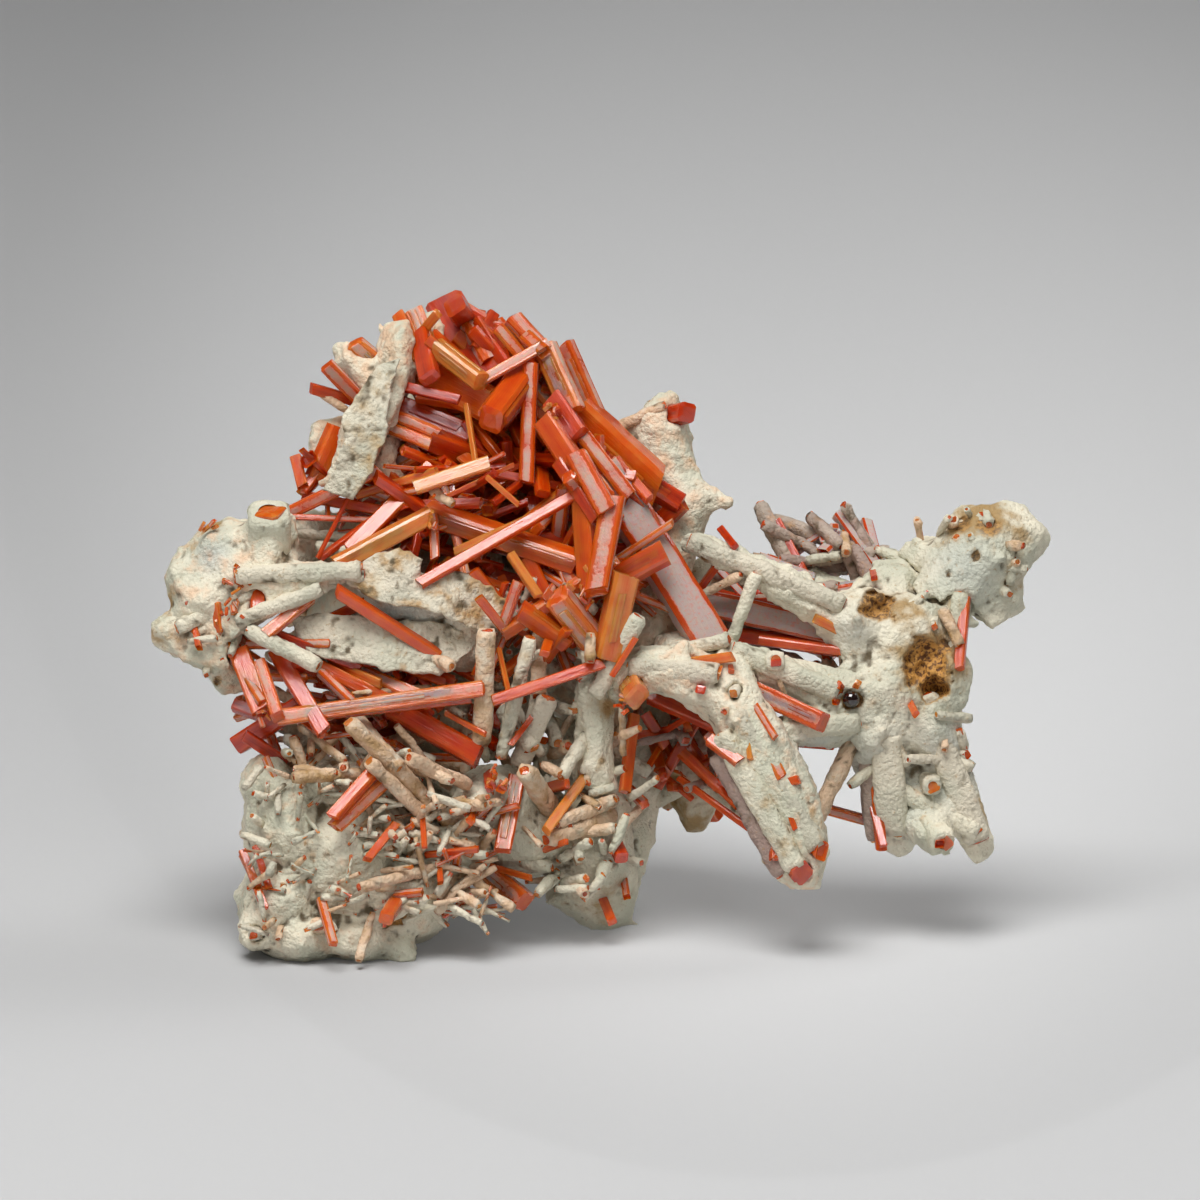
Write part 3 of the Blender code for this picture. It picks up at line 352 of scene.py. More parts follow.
# Crystals strewn at random, in the drawing's mm: the region, how many, the box's middle and half sizes, the
# heading and its spread, then the shortest and longest, the thinnest and thickest, and the looks.
STREWN = [
    ("vug", 46, (-15.0, 49.0, 4.0), (10.0, 8.0, 4.0), (0.9, 0.35, -0.5), 0.7,
     (4.0, 11.0), (0.8, 1.7), "red orange"),
    ("vug", 40, (-12.0, 43.0, 0.0), (11.0, 6.0, 5.0), (0.9, -0.3, -0.3), 0.8,
     (4.0, 10.0), (0.6, 1.3), "red orange gold"),
    ("vug", 46, (-19.0, 47.0, -2.5), (9.0, 4.0, 2.5), (0.9, 0.2, -0.1), 0.45,
     (5.0, 11.0), (0.4, 1.0), "red orange rose"),
    ("vug", 24, (-12.0, 53.5, 0.0), (7.0, 4.0, 2.5), (0.8, -0.5, -0.2), 0.4,
     (4.0, 9.0), (0.6, 1.6), "red orange"),
    ("crown", 20, (-14.0, 62.0, 5.0), (5.5, 3.5, 2.5), (0.5, -0.8, -0.3), 0.5,
     (3.0, 7.0), (0.9, 2.0), "red orange"),
    ("crown", 24, (-9.5, 62.2, 5.0), (4.0, 1.4, 3.5), (0.7, -0.7, -0.2), 0.25,
     (5.0, 9.0), (1.2, 2.4), "red orange rose"),
    ("crown", 26, (-3.2, 56.8, 4.0), (2.4, 2.6, 3.5), (0.6, -0.8, -0.1), 0.25,
     (5.0, 9.0), (1.2, 2.4), "red orange rose"),
    ("spill", 34, (-1.0, 44.0, -3.0), (6.0, 7.0, 3.5), (0.5, -0.8, -0.4), 0.6,
     (4.0, 10.0), (0.7, 1.7), "red orange rose"),
    ("spill", 38, (-5.0, 34.0, -5.0), (7.0, 4.5, 3.5), (0.6, 0.5, -0.4), 0.9,
     (3.0, 7.0), (0.5, 1.2), "orange rose white"),
    ("spill", 22, (-4.0, 25.0, -4.0), (8.0, 5.0, 3.5), (0.2, 0.8, -0.3), 0.8,
     (3.0, 7.0), (0.7, 1.6), "tan white white"),
    ("left", 46, (-25.0, 28.5, -5.0), (10.0, 3.0, 4.0), (0.9, -0.3, -0.3), 0.5,
     (4.0, 10.0), (0.5, 1.3), "orange rose red tan"),
    ("left", 14, (-38.0, 36.0, -8.0), (3.0, 4.0, 1.5), (-0.5, 0.1, -0.8), 0.9,
     (1.5, 4.0), (0.7, 1.3), "white tan orange"),
    ("block", 50, (-24.0, 21.0, -7.0), (9.0, 2.5, 4.0), (0.7, -0.5, -0.5), 0.8,
     (3.0, 6.0), (0.6, 1.2), "tan white white rose"),
    ("left", 44, (-20.0, 24.5, 1.0), (10.0, 2.5, 3.0), (0.9, -0.3, -0.2), 0.6,
     (4.0, 9.0), (0.8, 1.6), "orange red tan white"),
    ("block", 150, (-17.0, 11.5, -10.5), (6.5, 6.0, 2.0), (0.9, 0.3, -0.15), 0.55,
     (2.5, 5.5), (0.4, 0.9), "tan white tan white rose"),
    ("block", 60, (-29.0, 12.0, -12.2), (6.0, 8.0, 1.6), (0.7, 0.5, -0.3), 0.8,
     (1.5, 3.5), (0.4, 0.8), "white tan white white"),
    ("block", 40, (-1.0, 14.0, -4.5), (5.5, 6.0, 2.0), (0.7, 0.4, -0.5), 0.8,
     (2.5, 5.0), (0.6, 1.3), "tan white white"),
    ("ridge", 34, (9.0, 23.0, 4.0), (4.0, 5.0, 4.0), (0.6, -0.6, -0.3), 0.7,
     (4.0, 8.0), (0.6, 1.3), "red orange lilac"),
    ("ridge", 16, (16.0, 21.0, -7.5), (3.4, 3.4, 1.6), (0.5, -0.8, -0.2), 0.5,
     (2.0, 5.0), (0.5, 1.1), "orange rose white"),
    ("star", 30, (19.0, 35.5, 3.0), (8.0, 3.5, 3.0), (1.0, -0.3, -0.1), 0.35,
     (4.0, 10.0), (0.8, 1.8), "frost red lilac"),
    ("star", 22, (23.0, 42.0, 6.0), (5.0, 2.5, 2.5), (0.8, -0.6, -0.1), 0.5,
     (3.0, 8.0), (0.9, 1.7), "lilac lilac frost"),
    ("star", 30, (32.0, 29.0, -3.5), (5.0, 8.0, 1.4), (0.5, -0.8, -0.3), 0.8,
     (2.0, 5.0), (0.7, 1.3), "white tan white"),
    ("star", 30, (38.0, 42.0, -0.5), (4.0, 4.0, 2.0), (0.4, 0.5, -0.7), 0.8,
     (2.0, 4.0), (0.6, 1.1), "white tan white"),
    ("vug", 60, (-11.0, 50.0, 18.5), (11.0, 11.0, 2.0), (0.7, 0.5, 0.4), 0.9,
     (5.0, 13.0), (0.8, 2.0), "tan rose white"),
    ("left", 26, (-24.0, 36.0, 12.0), (9.0, 6.0, 3.0), (0.9, 0.2, 0.5), 0.8,
     (4.0, 10.0), (0.8, 1.8), "tan white rose"),
    ("block", 40, (-24.0, 13.0, 16.0), (8.0, 6.0, 3.0), (0.6, 0.4, 0.7), 0.9,
     (4.0, 9.0), (0.8, 1.7), "tan white rose"),
    ("ridge", 26, (6.0, 25.0, 16.0), (7.0, 9.0, 3.0), (0.5, -0.7, 0.5), 0.8,
     (4.0, 10.0), (0.8, 1.7), "tan orange rose"),
    ("star", 24, (27.0, 30.0, 3.0), (6.0, 8.0, 2.0), (0.6, -0.5, 0.6), 0.8,
     (3.0, 8.0), (0.7, 1.5), "tan white rose"),
]

# Crystals that lie on the limbs' far side, in mm: their looks and sizes, then the limb, the region and how
# many on each square mm.
BACK_LOOKS = ("tan", "white", "tan", "white", "rose", "frost", "orange")
BACK_WIDTHS = (0.9, 2.2)
BACK_REACHES = (2.0, 6.5)  # half the crystal's length
BACK_SLACK = 0.7  # how far they may stand out of the solids' box
BACKED = [
    ("matrix_vug_wall", "vug", 0.05),
    ("matrix_trunk", "spill", 0.05),
    ("matrix_left_arm", "left", 0.05),
    ("matrix_left_plate", "left", 0.03),
    ("matrix_block", "block", 0.04),
    ("matrix_shelf", "ridge", 0.05),
    ("matrix_rear_limb", "ridge", 0.05),
    ("matrix_star", "star", 0.04),
]

# Sparkling patches of tiny crystals: middle, radius in mm, how many.
DRUSE = [
    ((-36.8, 39.2, -10.0), 1.2, 16),
    ((-36.0, 40.2, -10.0), 1.0, 12),
    ((-36.7, 36.2, -10.4), 1.1, 14),
    ((-37.7, 34.5, -9.4), 1.0, 12),
    ((-2.0, 37.7, -10.0), 2.0, 34),
    ((-33.2, 26.3, -12.6), 0.9, 12),
    ((-4.6, 56.2, -6.0), 1.0, 12),
    ((-10.6, 19.0, -11.4), 1.2, 16),
    ((-39.4, 44.6, -8.0), 0.7, 8),
    ((-41.0, 40.6, -7.0), 0.7, 8),
    ((-16.8, 45.6, -8.6), 1.0, 12),
    ((2.6, 26.6, -11.0), 1.0, 12),
]

# Pits in the matrix: middle, radius and depth in mm, and how brown, from 0 to 1. The first few are broad
# open hollows, and no strewn crystal lies over them or within the clearance.
OPEN_PITS = 3
CLEARANCE = 1.2  # mm
PITS = [
    ((28.0, 36.6, -6.0), 1.7, 1.5, 0.7),
    ((33.0, 30.8, -5.0), 2.7, 1.5, 0.95),
    ((33.8, 28.0, -5.0), 1.3, 2.6, 1.0),
    ((25.3, 27.2, -6.5), 1.1, 1.2, 0.8),
    ((29.0, 22.7, -5.0), 0.7, 1.0, 0.3),
    ((35.2, 39.8, -2.5), 0.5, 0.35, 0.2),
    ((38.0, 41.6, -2.5), 0.6, 0.4, 0.25),
    ((39.4, 44.6, -1.5), 1.4, 0.8, 0.5),
    ((36.6, 44.9, -1.5), 0.9, 0.6, 0.4),
    ((41.2, 38.9, -1.5), 0.5, 0.35, 0.2),
    ((-38.5, 29.2, -6.6), 0.6, 0.9, 0.5),
    ((10.5, 41.4, -4.8), 0.6, 1.2, 0.4),
    ((-20.8, 5.4, -12.6), 1.3, 0.8, 0.8),
]

# Limbs unlike the rest, which have 0.2 and 1.0: how orange their dust is, and their share of rods.
LIMBS = {
    "matrix_vug_wall": (0.6, 1.0),
    "matrix_left_plate": (0.7, 0.3),
    "matrix_left_arm": (0.55, 1.0),
    "matrix_block": (0.4, 1.0),
    "matrix_shelf": (0.5, 0.4),
    "matrix_ridge": (0.5, 0.6),
}

# Thin plates of crust: (across, up, deep) along one edge and along the other, in mm, then ochre and blush.
PLATES = [
    (
        [(-23.8, 41.2, -9.8), (-20.0, 42.7, -9.8), (-18.0, 41.4, -9.8), (-18.0, 39.4, -9.9),
         (-15.5, 40.2, -9.6), (-12.0, 39.4, -9.2), (-9.0, 37.2, -8.6), (-8.0, 35.2, -8.2)],
        [(-25.6, 39.0, -10.6), (-23.0, 37.4, -11.2), (-20.5, 36.6, -11.4), (-18.0, 36.4, -11.2),
         (-14.0, 35.0, -10.6), (-12.5, 34.0, -9.6), (-9.6, 34.0, -8.8)],
        0.35, 0.9,
    ),
    (
        [(-20.2, 61.6, -4.6), (-21.2, 58.7, -5.4), (-21.4, 56.2, -6.0), (-21.2, 54.7, -6.3),
         (-22.0, 52.7, -6.4), (-23.5, 49.2, -6.4), (-25.0, 47.2, -6.0)],
        [(-22.5, 61.0, -4.4), (-23.2, 59.7, -5.0), (-25.5, 56.7, -5.8), (-26.0, 55.2, -6.2),
         (-25.5, 53.2, -6.4), (-26.5, 51.2, -6.2), (-28.0, 48.2, -5.8)],
        0.25, 0.35,
    ),
    (
        [(-31.5, 35.4, -7.8), (-27.0, 35.9, -8.6), (-22.0, 35.2, -9.0), (-17.0, 35.2, -8.6),
         (-12.5, 33.9, -7.6)],
        [(-29.6, 32.0, -8.8), (-22.0, 30.2, -9.9), (-16.0, 29.6, -9.4), (-14.6, 30.8, -8.6),
         (-12.2, 32.9, -7.8)],
        0.15, 0.45,
    ),
]

# Stains on the matrix: middle, radius in mm, and the strength of ochre and of blue-grey. The blue-grey on the
# star's lower legs is painted shade.
STAINS = [
    ((38.7, 45.3, 0.0), 3.4, 0.9, 0.0),
    ((36.0, 44.0, 0.0), 2.6, 0.6, 0.0),
    ((41.5, 40.0, -1.0), 2.2, 0.5, 0.0),
    ((31.0, 35.2, -4.0), 2.4, 0.85, 0.0),
    ((33.0, 31.0, -4.0), 4.2, 0.9, 0.0),
    ((28.0, 36.5, -4.0), 2.6, 0.7, 0.0),
    ((-38.5, 41.5, -7.0), 1.8, 0.0, 0.8),
    ((-40.5, 41.8, -6.0), 1.6, 0.6, 0.0),
    ((-39.0, 45.0, -6.0), 1.6, 0.8, 0.0),
    ((-43.6, 34.0, -6.0), 1.8, 0.9, 0.0),
    ((-43.0, 37.4, -6.0), 1.5, 0.6, 0.0),
    ((-14.0, 37.2, -8.0), 2.4, 0.7, 0.0),
    ((-28.5, 13.8, -11.0), 3.6, 0.25, 0.0),
    ((-18.8, 14.2, -12.0), 1.8, 0.7, 0.0),
    ((-28.0, 24.0, -6.0), 5.0, 0.5, 0.0),
    ((-14.0, 12.0, -8.0), 5.0, 0.3, 0.0),
    ((0.5, 26.2, -6.0), 1.6, 0.7, 0.0),
    ((0.3, 20.9, -6.0), 1.0, 0.7, 0.0),
    ((0.0, 7.0, 0.0), 3.6, 0.5, 0.0),
    ((7.8, 18.4, 10.0), 3.2, 0.7, 0.0),
    ((9.5, 15.0, 11.0), 2.4, 0.7, 0.0),
    ((-10.0, 52.0, 8.0), 9.0, 0.6, 0.0),
    ((-21.0, 33.5, -6.0), 6.0, 0.15, 0.6),
    ((20.8, 15.0, -11.0), 1.6, 0.6, 0.0),
    ((30.0, 28.0, -4.0), 7.0, 0.2, 0.0),
    ((37.0, 40.5, -1.0), 3.6, 0.0, 0.35),
    # Painted shade: blue-grey that darkens the star's lower legs, which lie in shade.
    ((28.0, 19.0, -3.0), 5.0, 0.0, 0.45),
    ((35.0, 21.0, -3.0), 4.0, 0.0, 0.4),
    ((22.0, 22.0, -8.0), 3.0, 0.0, 0.35),
    ((25.0, 33.5, -6.0), 2.4, 0.0, 0.3),
    ((42.5, 43.5, -1.0), 1.8, 0.6, 0.0),
    ((35.5, 36.8, -2.0), 1.6, 0.6, 0.0),
    ((31.5, 24.0, -4.0), 1.6, 0.55, 0.0),
    ((38.0, 16.0, -2.0), 1.8, 0.55, 0.0),
    ((36.0, 20.0, -2.0), 4.0, 0.25, 0.0),
    ((12.8, 28.4, -9.0), 2.0, 0.4, 0.0),
]


def length(name, default, description):
    """A length in mm, as a property."""
    return bpy.props.FloatProperty(name=name, description=description + ", in mm", default=default, min=0.0)


def share(name, default, description):
    """A share of something, from 0 to 1, as a property."""
    return bpy.props.FloatProperty(name=name, description=description, default=default, min=0.0, max=1.0)


def amount(name, default, description, unit="NONE"):
    """Any other number from 0 up, as a property."""
    return bpy.props.FloatProperty(name=name, description=description, default=default, min=0.0, unit=unit)


def colour(name, default, description):
    """A colour as a property."""
    description += ", as an sRGB hex colour"
    return bpy.props.StringProperty(name=name, description=description, default=default)


class CrustSettings(bpy.types.PropertyGroup):
    """The pale crust: its cells, nodules, rods and colours."""

    grain: length("Grain", 0.3, "Side of the fused crust's smallest cell")
    nodule: length("Nodule", 0.42, "Radius of a middling nodule of the crust")
    nodules: amount("Nodules", 1.3, "Nodules on each square mm of the limb")
    rod: length("Rod", 0.42, "Radius of a middling crust-covered rod")
    rod_length: length("Rod length", 2.4, "Length of a middling crust-covered rod")
    rods: amount("Rods", 0.06, "Crust-covered rods on each square mm of the limb")
    roughness: length("Roughness", 0.2, "Height of the crust's small bumps")
    core: share("Core", 0.62, "Width of a sheathed crystal, as a share of its sheath's")
    milk: colour("Milk", "#DED6BF", "The clean crust")
    mint: colour("Mint", "#C6C4AE", "The crust's cool patches")
    ochre: colour("Ochre", "#9E7838", "Iron stains on the crust")
    # Blue is partly the crust's own bluish grey and partly painted shade on the star's lower legs.
    blue: colour("Blue", "#A3B0B8", "Bluish grey patches of the crust")
    # The hollow colour is partly olive stain and partly painted shade in the crevices.
    hollow: colour("Hollow", "#54462C", "The crust's crevices")
    limonite: colour("Limonite", "#C48D42", "Crumbs of limonite in the broken hollows")
    limonite_dark: colour("Dark limonite", "#5A3414", "The gaps between the limonite crumbs")
    blush: colour("Blush", "#E0B088", "Crocoite dust under a thin crust")
    lilac: colour("Lilac", "#92746C", "A thin crust with the red crystal showing through")


class TrimSettings(bpy.types.PropertyGroup):
    """The thin plates of crust and the bead."""

    plate: length("Plate", 0.7, "Thickness of a plate of crust")
    wave: length("Wave", 0.5, "Height of a plate's waves")
    bead: length("Bead", 0.85, "Radius of the glassy black bead")
    bead_colour: colour("Bead", "#1A0906", "The glassy bead")


class CrystalSettings(bpy.types.PropertyGroup):
    """The crocoite crystals: their faces and colours."""

    bevel: share("Bevel", 0.14, "Width of the narrow faces at the crystal's edges, as a share of its width")
    lath: share("Lath", 0.5, "Width of the laths grown alongside, as a share of the crystal's")
    broad: length("Broad", 1.6, "Crystals from this width on carry laths")
    slant: share("Slant", 0.35, "How far the end faces lean")
    deep_red: colour("Deep red", "#A01C02", "Thick crystals in the shade")
    red: colour("Red", "#DC4006", "Crystals of middling thickness")
    orange: colour("Orange", "#F0640C", "Thin crystals")
    # Gold also carries the painted glow of the edges.
    gold: colour("Gold", "#F8963C", "Edges and striated faces")
    skin: colour("Skin", "#B8A49C", "The cool white coat on a crystal")
    warm_skin: colour("Warm skin", "#DDA27A", "The ochre coat on a crystal")
    seed: bpy.props.IntProperty(name="Seed", description="Start of the random placing", default=11)


class StageSettings(bpy.types.PropertyGroup):
    """The sweep, the lights and the camera."""

    floor_colour: colour("Floor", "#8A8A8A", "The sweep under and behind the specimen")
    floor_radius: amount("Floor radius", 1.9, "Radius of the sweep's flat part, in metres", "LENGTH")
    bowl: amount("Bowl", 0.6, "Radius of the sweep's raised rim, in metres", "LENGTH")
    key_power: amount("Key", 7.5, "Power of the soft light above, in watts", "POWER")
    fill_power: amount("Fill", 1.45, "Power of each softer light round the specimen, in watts", "POWER")
    pool_power: amount("Pool", 300.0, "Power of the round pool of light on the paper, in watts", "POWER")
    sky: share("Sky", 0.06, "Strength of the even light all round")
    distance: amount("Distance", 1.5, "From the camera to the specimen, in metres", "LENGTH")
    lens: amount("Lens", 450.0, "Focal length on a 36 mm sensor, in mm", "CAMERA")


def settings():
    """The property groups, in the order of GROUPS."""
    return [getattr(bpy.context.scene, name) for name in GROUPS]


def linear(code):
    """An sRGB hex colour as linear red, green, blue and alpha."""
    channels = [int(code[i : i + 2], 16) / 255 for i in (1, 3, 5)]
    return (*[c / 12.92 if c <= 0.04045 else ((c + 0.055) / 1.055) ** 2.4 for c in channels], 1.0)


def seen(places):
    """Places in the drawing, in mm, as points of the standing specimen, in metres."""
    places = np.asarray(places, float)
    tilted = places[..., :1] * ACROSS + places[..., 1:2] * UP + places[..., 2:3] * DEEP
    return (tilted - np.array((CENTRE[0], CENTRE[1], REST_HEIGHT))) * MM


def drawn_along(direction):
    """A direction of the standing specimen, in the drawing's own axes."""
    return np.array((direction @ ACROSS, direction @ UP, direction @ DEEP))


def drawn(point):
    """A point of the standing specimen, in metres, as a place in the drawing, in mm."""
    return drawn_along(np.asarray(point) / MM + np.array((CENTRE[0], CENTRE[1], REST_HEIGHT)))


def lattice_noise(points, size, seed):
    """Smooth noise from -1 to 1 at points, with features of the given size in metres."""
    table = np.random.default_rng(seed).uniform(-1.0, 1.0, 4096)
    grid = np.asarray(points) / size
    cell = np.floor(grid).astype(np.int64)
    part = grid - cell
    part = part * part * (3.0 - 2.0 * part)
    found = np.zeros(len(grid))
    for corner in range(8):
        step = np.array([(corner >> axis) & 1 for axis in range(3)])
        at = cell + step
        key = (at[:, 0] * 73856093) ^ (at[:, 1] * 19349663) ^ (at[:, 2] * 83492791)
        weight = np.prod(np.where(step == 1, part, 1.0 - part), axis=1)
        found += table[key % 4096] * weight
    return found


def new_object(name, vertices, faces):
    """A mesh object in the scene, from its points and faces."""
    mesh = bpy.data.meshes.new(name)
    mesh.from_pydata(np.asarray(vertices).tolist(), [], faces)
    mesh.update()
    made = bpy.data.objects.new(name, mesh)
    bpy.context.scene.collection.objects.link(made)
    return made


def ring_edges(start, count):
    """The pairs of neighbouring points round a ring, which closes on itself."""
    return [(start + i, start + (i + 1) % count) for i in range(count)]


def placed(made, material):
    """Gives a piece its material, and lets it ride on the specimen's one body."""
    made.data.materials.append(material)
    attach(made, "root")
    return made


def store(mesh, name, values):
    """Keeps one number for each vertex, for the material to read."""
    layer = mesh.attributes.new(name, "FLOAT", "POINT")
    layer.data.foreach_set("value", np.asarray(values, np.float32))


def points_of(mesh):
    """A mesh's points, one row each."""
    found = np.empty(len(mesh.vertices) * 3, np.float32)
    mesh.vertices.foreach_get("co", found)
    return found.reshape(-1, 3).astype(float)


def normals_of(mesh):
    """The normals at a mesh's points."""
    found = np.empty(len(mesh.vertices) * 3, np.float32)
    mesh.vertices.foreach_get("normal", found)
    return found.reshape(-1, 3).astype(float)


def smoothed(mesh, points, rounds):
    """The points, each moved half way to the mean of its neighbours, so many times."""
    ends = np.empty(len(mesh.edges) * 2, np.int32)
    mesh.edges.foreach_get("vertices", ends)
    first, last = ends[::2], ends[1::2]
    count = np.bincount(first, minlength=len(points)) + np.bincount(last, minlength=len(points))
    for _ in range(rounds):
        mean = np.empty_like(points)
        for axis in range(3):
            total = np.bincount(first, weights=points[last, axis], minlength=len(points))
            total += np.bincount(last, weights=points[first, axis], minlength=len(points))
            mean[:, axis] = total / np.maximum(count, 1)
        points = points * 0.5 + mean * 0.5
    return points


# Materials


def add_node(tree, kind, sockets=(), **settings):
    """Adds a shader node with its settings. A socket's value that is another node's socket is linked."""
    node = tree.nodes.new("ShaderNode" + kind)
    for name, value in settings.items():
        setattr(node, name, value)
    for name, value in dict(sockets).items():
        if isinstance(value, bpy.types.NodeSocket):
            tree.links.new(value, node.inputs[name])
        else:
            node.inputs[name].default_value = value
    return node


def empty_material(name):
    """A material with nothing but its output, and the function that adds a node to it."""
    made = bpy.data.materials.new(name)
    made.use_nodes = True
    tree = made.node_tree
    for node in [node for node in tree.nodes if node.type != "OUTPUT_MATERIAL"]:
        tree.nodes.remove(node)
    return made, tree.nodes["Material Output"].inputs["Surface"], functools.partial(add_node, tree)


def crocoite_material():
    """Lead chromate: a clear orange-red crystal with an almost diamond-like shine, coated here and there.

    Light that enters comes out orange, so thin crystals and edges glow and thick ones are red; the edges'
    glow is also painted, as a shift towards gold. A milky skin lies on the faces and wears off at the edges.
    """
    _, look, *_ = settings()
    made, surface, add = empty_material("crocoite_crystal")
    tone, coat, edge, warm = (
        add("Attribute", attribute_name=name).outputs["Fac"] for name in ("tone", "coat", "edge", "warm")
    )
    place = add("TexCoord").outputs["Object"]
    # Striations run along the crystal: the map's first number goes round it and its second along it, in mm.
    along = add("Mapping", {"Vector": add("UVMap").outputs["UV"], "Scale": (1.0, 0.05, 1.0)}).outputs[0]
    lines = add("TexNoise", {"Vector": along, "Scale": 5.5, "Detail": 4.0, "Roughness": 0.6}).outputs["Fac"]
    cloud = add("TexNoise", {"Vector": place, "Scale": 1 / (1.8 * MM), "Detail": 3.0}).outputs["Fac"]
    grain = add("TexNoise", {"Vector": place, "Scale": 1 / (0.35 * MM), "Detail": 5.0}).outputs["Fac"]
    shade = add("Math", {0: lines, 1: 0.5, 2: -0.25}, operation="MULTIPLY_ADD").outputs[0]
    shade = add("Math", {0: cloud, 1: 0.5, 2: shade}, operation="MULTIPLY_ADD").outputs[0]
    # Painted glow: the bevelled edges are shifted towards gold, as if lit through.
    shade = add("Math", {0: edge, 1: 0.2, 2: shade}, operation="MULTIPLY_ADD").outputs[0]
    shade = add("Math", {0: shade, 1: 0.25}, operation="SUBTRACT").outputs[0]
    ramp = add("ValToRGB", {"Fac": add("Math", {0: shade, 1: tone}).outputs[0]})
    stops = ramp.color_ramp.elements
    stops[0].color, stops[0].position = linear(look.deep_red), 0.0
    stops[1].color, stops[1].position = linear(look.gold), 1.0
    for position, code in ((0.3, look.red), (0.68, look.orange)):
        stops.new(position).color = linear(code)
    gem = ramp.outputs["Color"]
    thick = add("Math", {0: cloud, 1: 0.5, 2: coat}, operation="MULTIPLY_ADD").outputs[0]
    thick = add("Math", {0: grain, 1: 0.35, 2: thick}, operation="MULTIPLY_ADD").outputs[0]
    worn = add("Math", {0: edge, 1: 4.0}, operation="POWER").outputs[0]
    thick = add("Math", {0: worn, 1: -0.7, 2: thick}, operation="MULTIPLY_ADD").outputs[0]
    cover = add("MapRange", {0: thick, 1: 0.62, 2: 0.95}, interpolation_type="SMOOTHSTEP").outputs[0]
    coated = add("MapRange", {0: coat, 1: 0.05, 2: 0.3}).outputs[0]
    cover = add("Math", {0: cover, 1: coated}, operation="MULTIPLY").outputs[0]
    skin = add("Mix", {0: warm, 6: linear(look.skin), 7: linear(look.warm_skin)}, data_type="RGBA").outputs[2]
    speck = add("MapRange", {0: grain, 1: 0.5, 2: 0.8, 4: 0.5}).outputs[0]
    skin = add("Mix", {0: speck, 6: skin, 7: gem}, data_type="RGBA").outputs[2]
    relief = add("Math", {0: grain, 1: cover, 2: lines}, operation="MULTIPLY_ADD").outputs[0]
    bump = add("Bump", {"Height": relief, "Distance": 0.1 * MM, "Strength": 0.7}).outputs[0]
    bare = add("Math", {0: 1.0, 1: cover}, operation="SUBTRACT").outputs[0]
    shader = add(
        "BsdfPrincipled",
        {
            "Base Color": add("Mix", {0: cover, 6: gem, 7: skin}, data_type="RGBA").outputs[2],
            "Roughness": add("Math", {0: cover, 1: 0.45, 2: 0.15}, operation="MULTIPLY_ADD").outputs[0],
            "IOR": 2.31,
            "Specular IOR Level": 0.15,
            "Transmission Weight": add("Math", {0: bare, 1: 0.35}, operation="MULTIPLY").outputs[0],
            "Subsurface Weight": 0.5,
            "Subsurface Radius": (1.0, 0.3, 0.08),
            "Subsurface Scale": 1.3 * MM,
            "Normal": bump,
        },
    )
    shader.id_data.links.new(shader.outputs[0], surface)
    return made


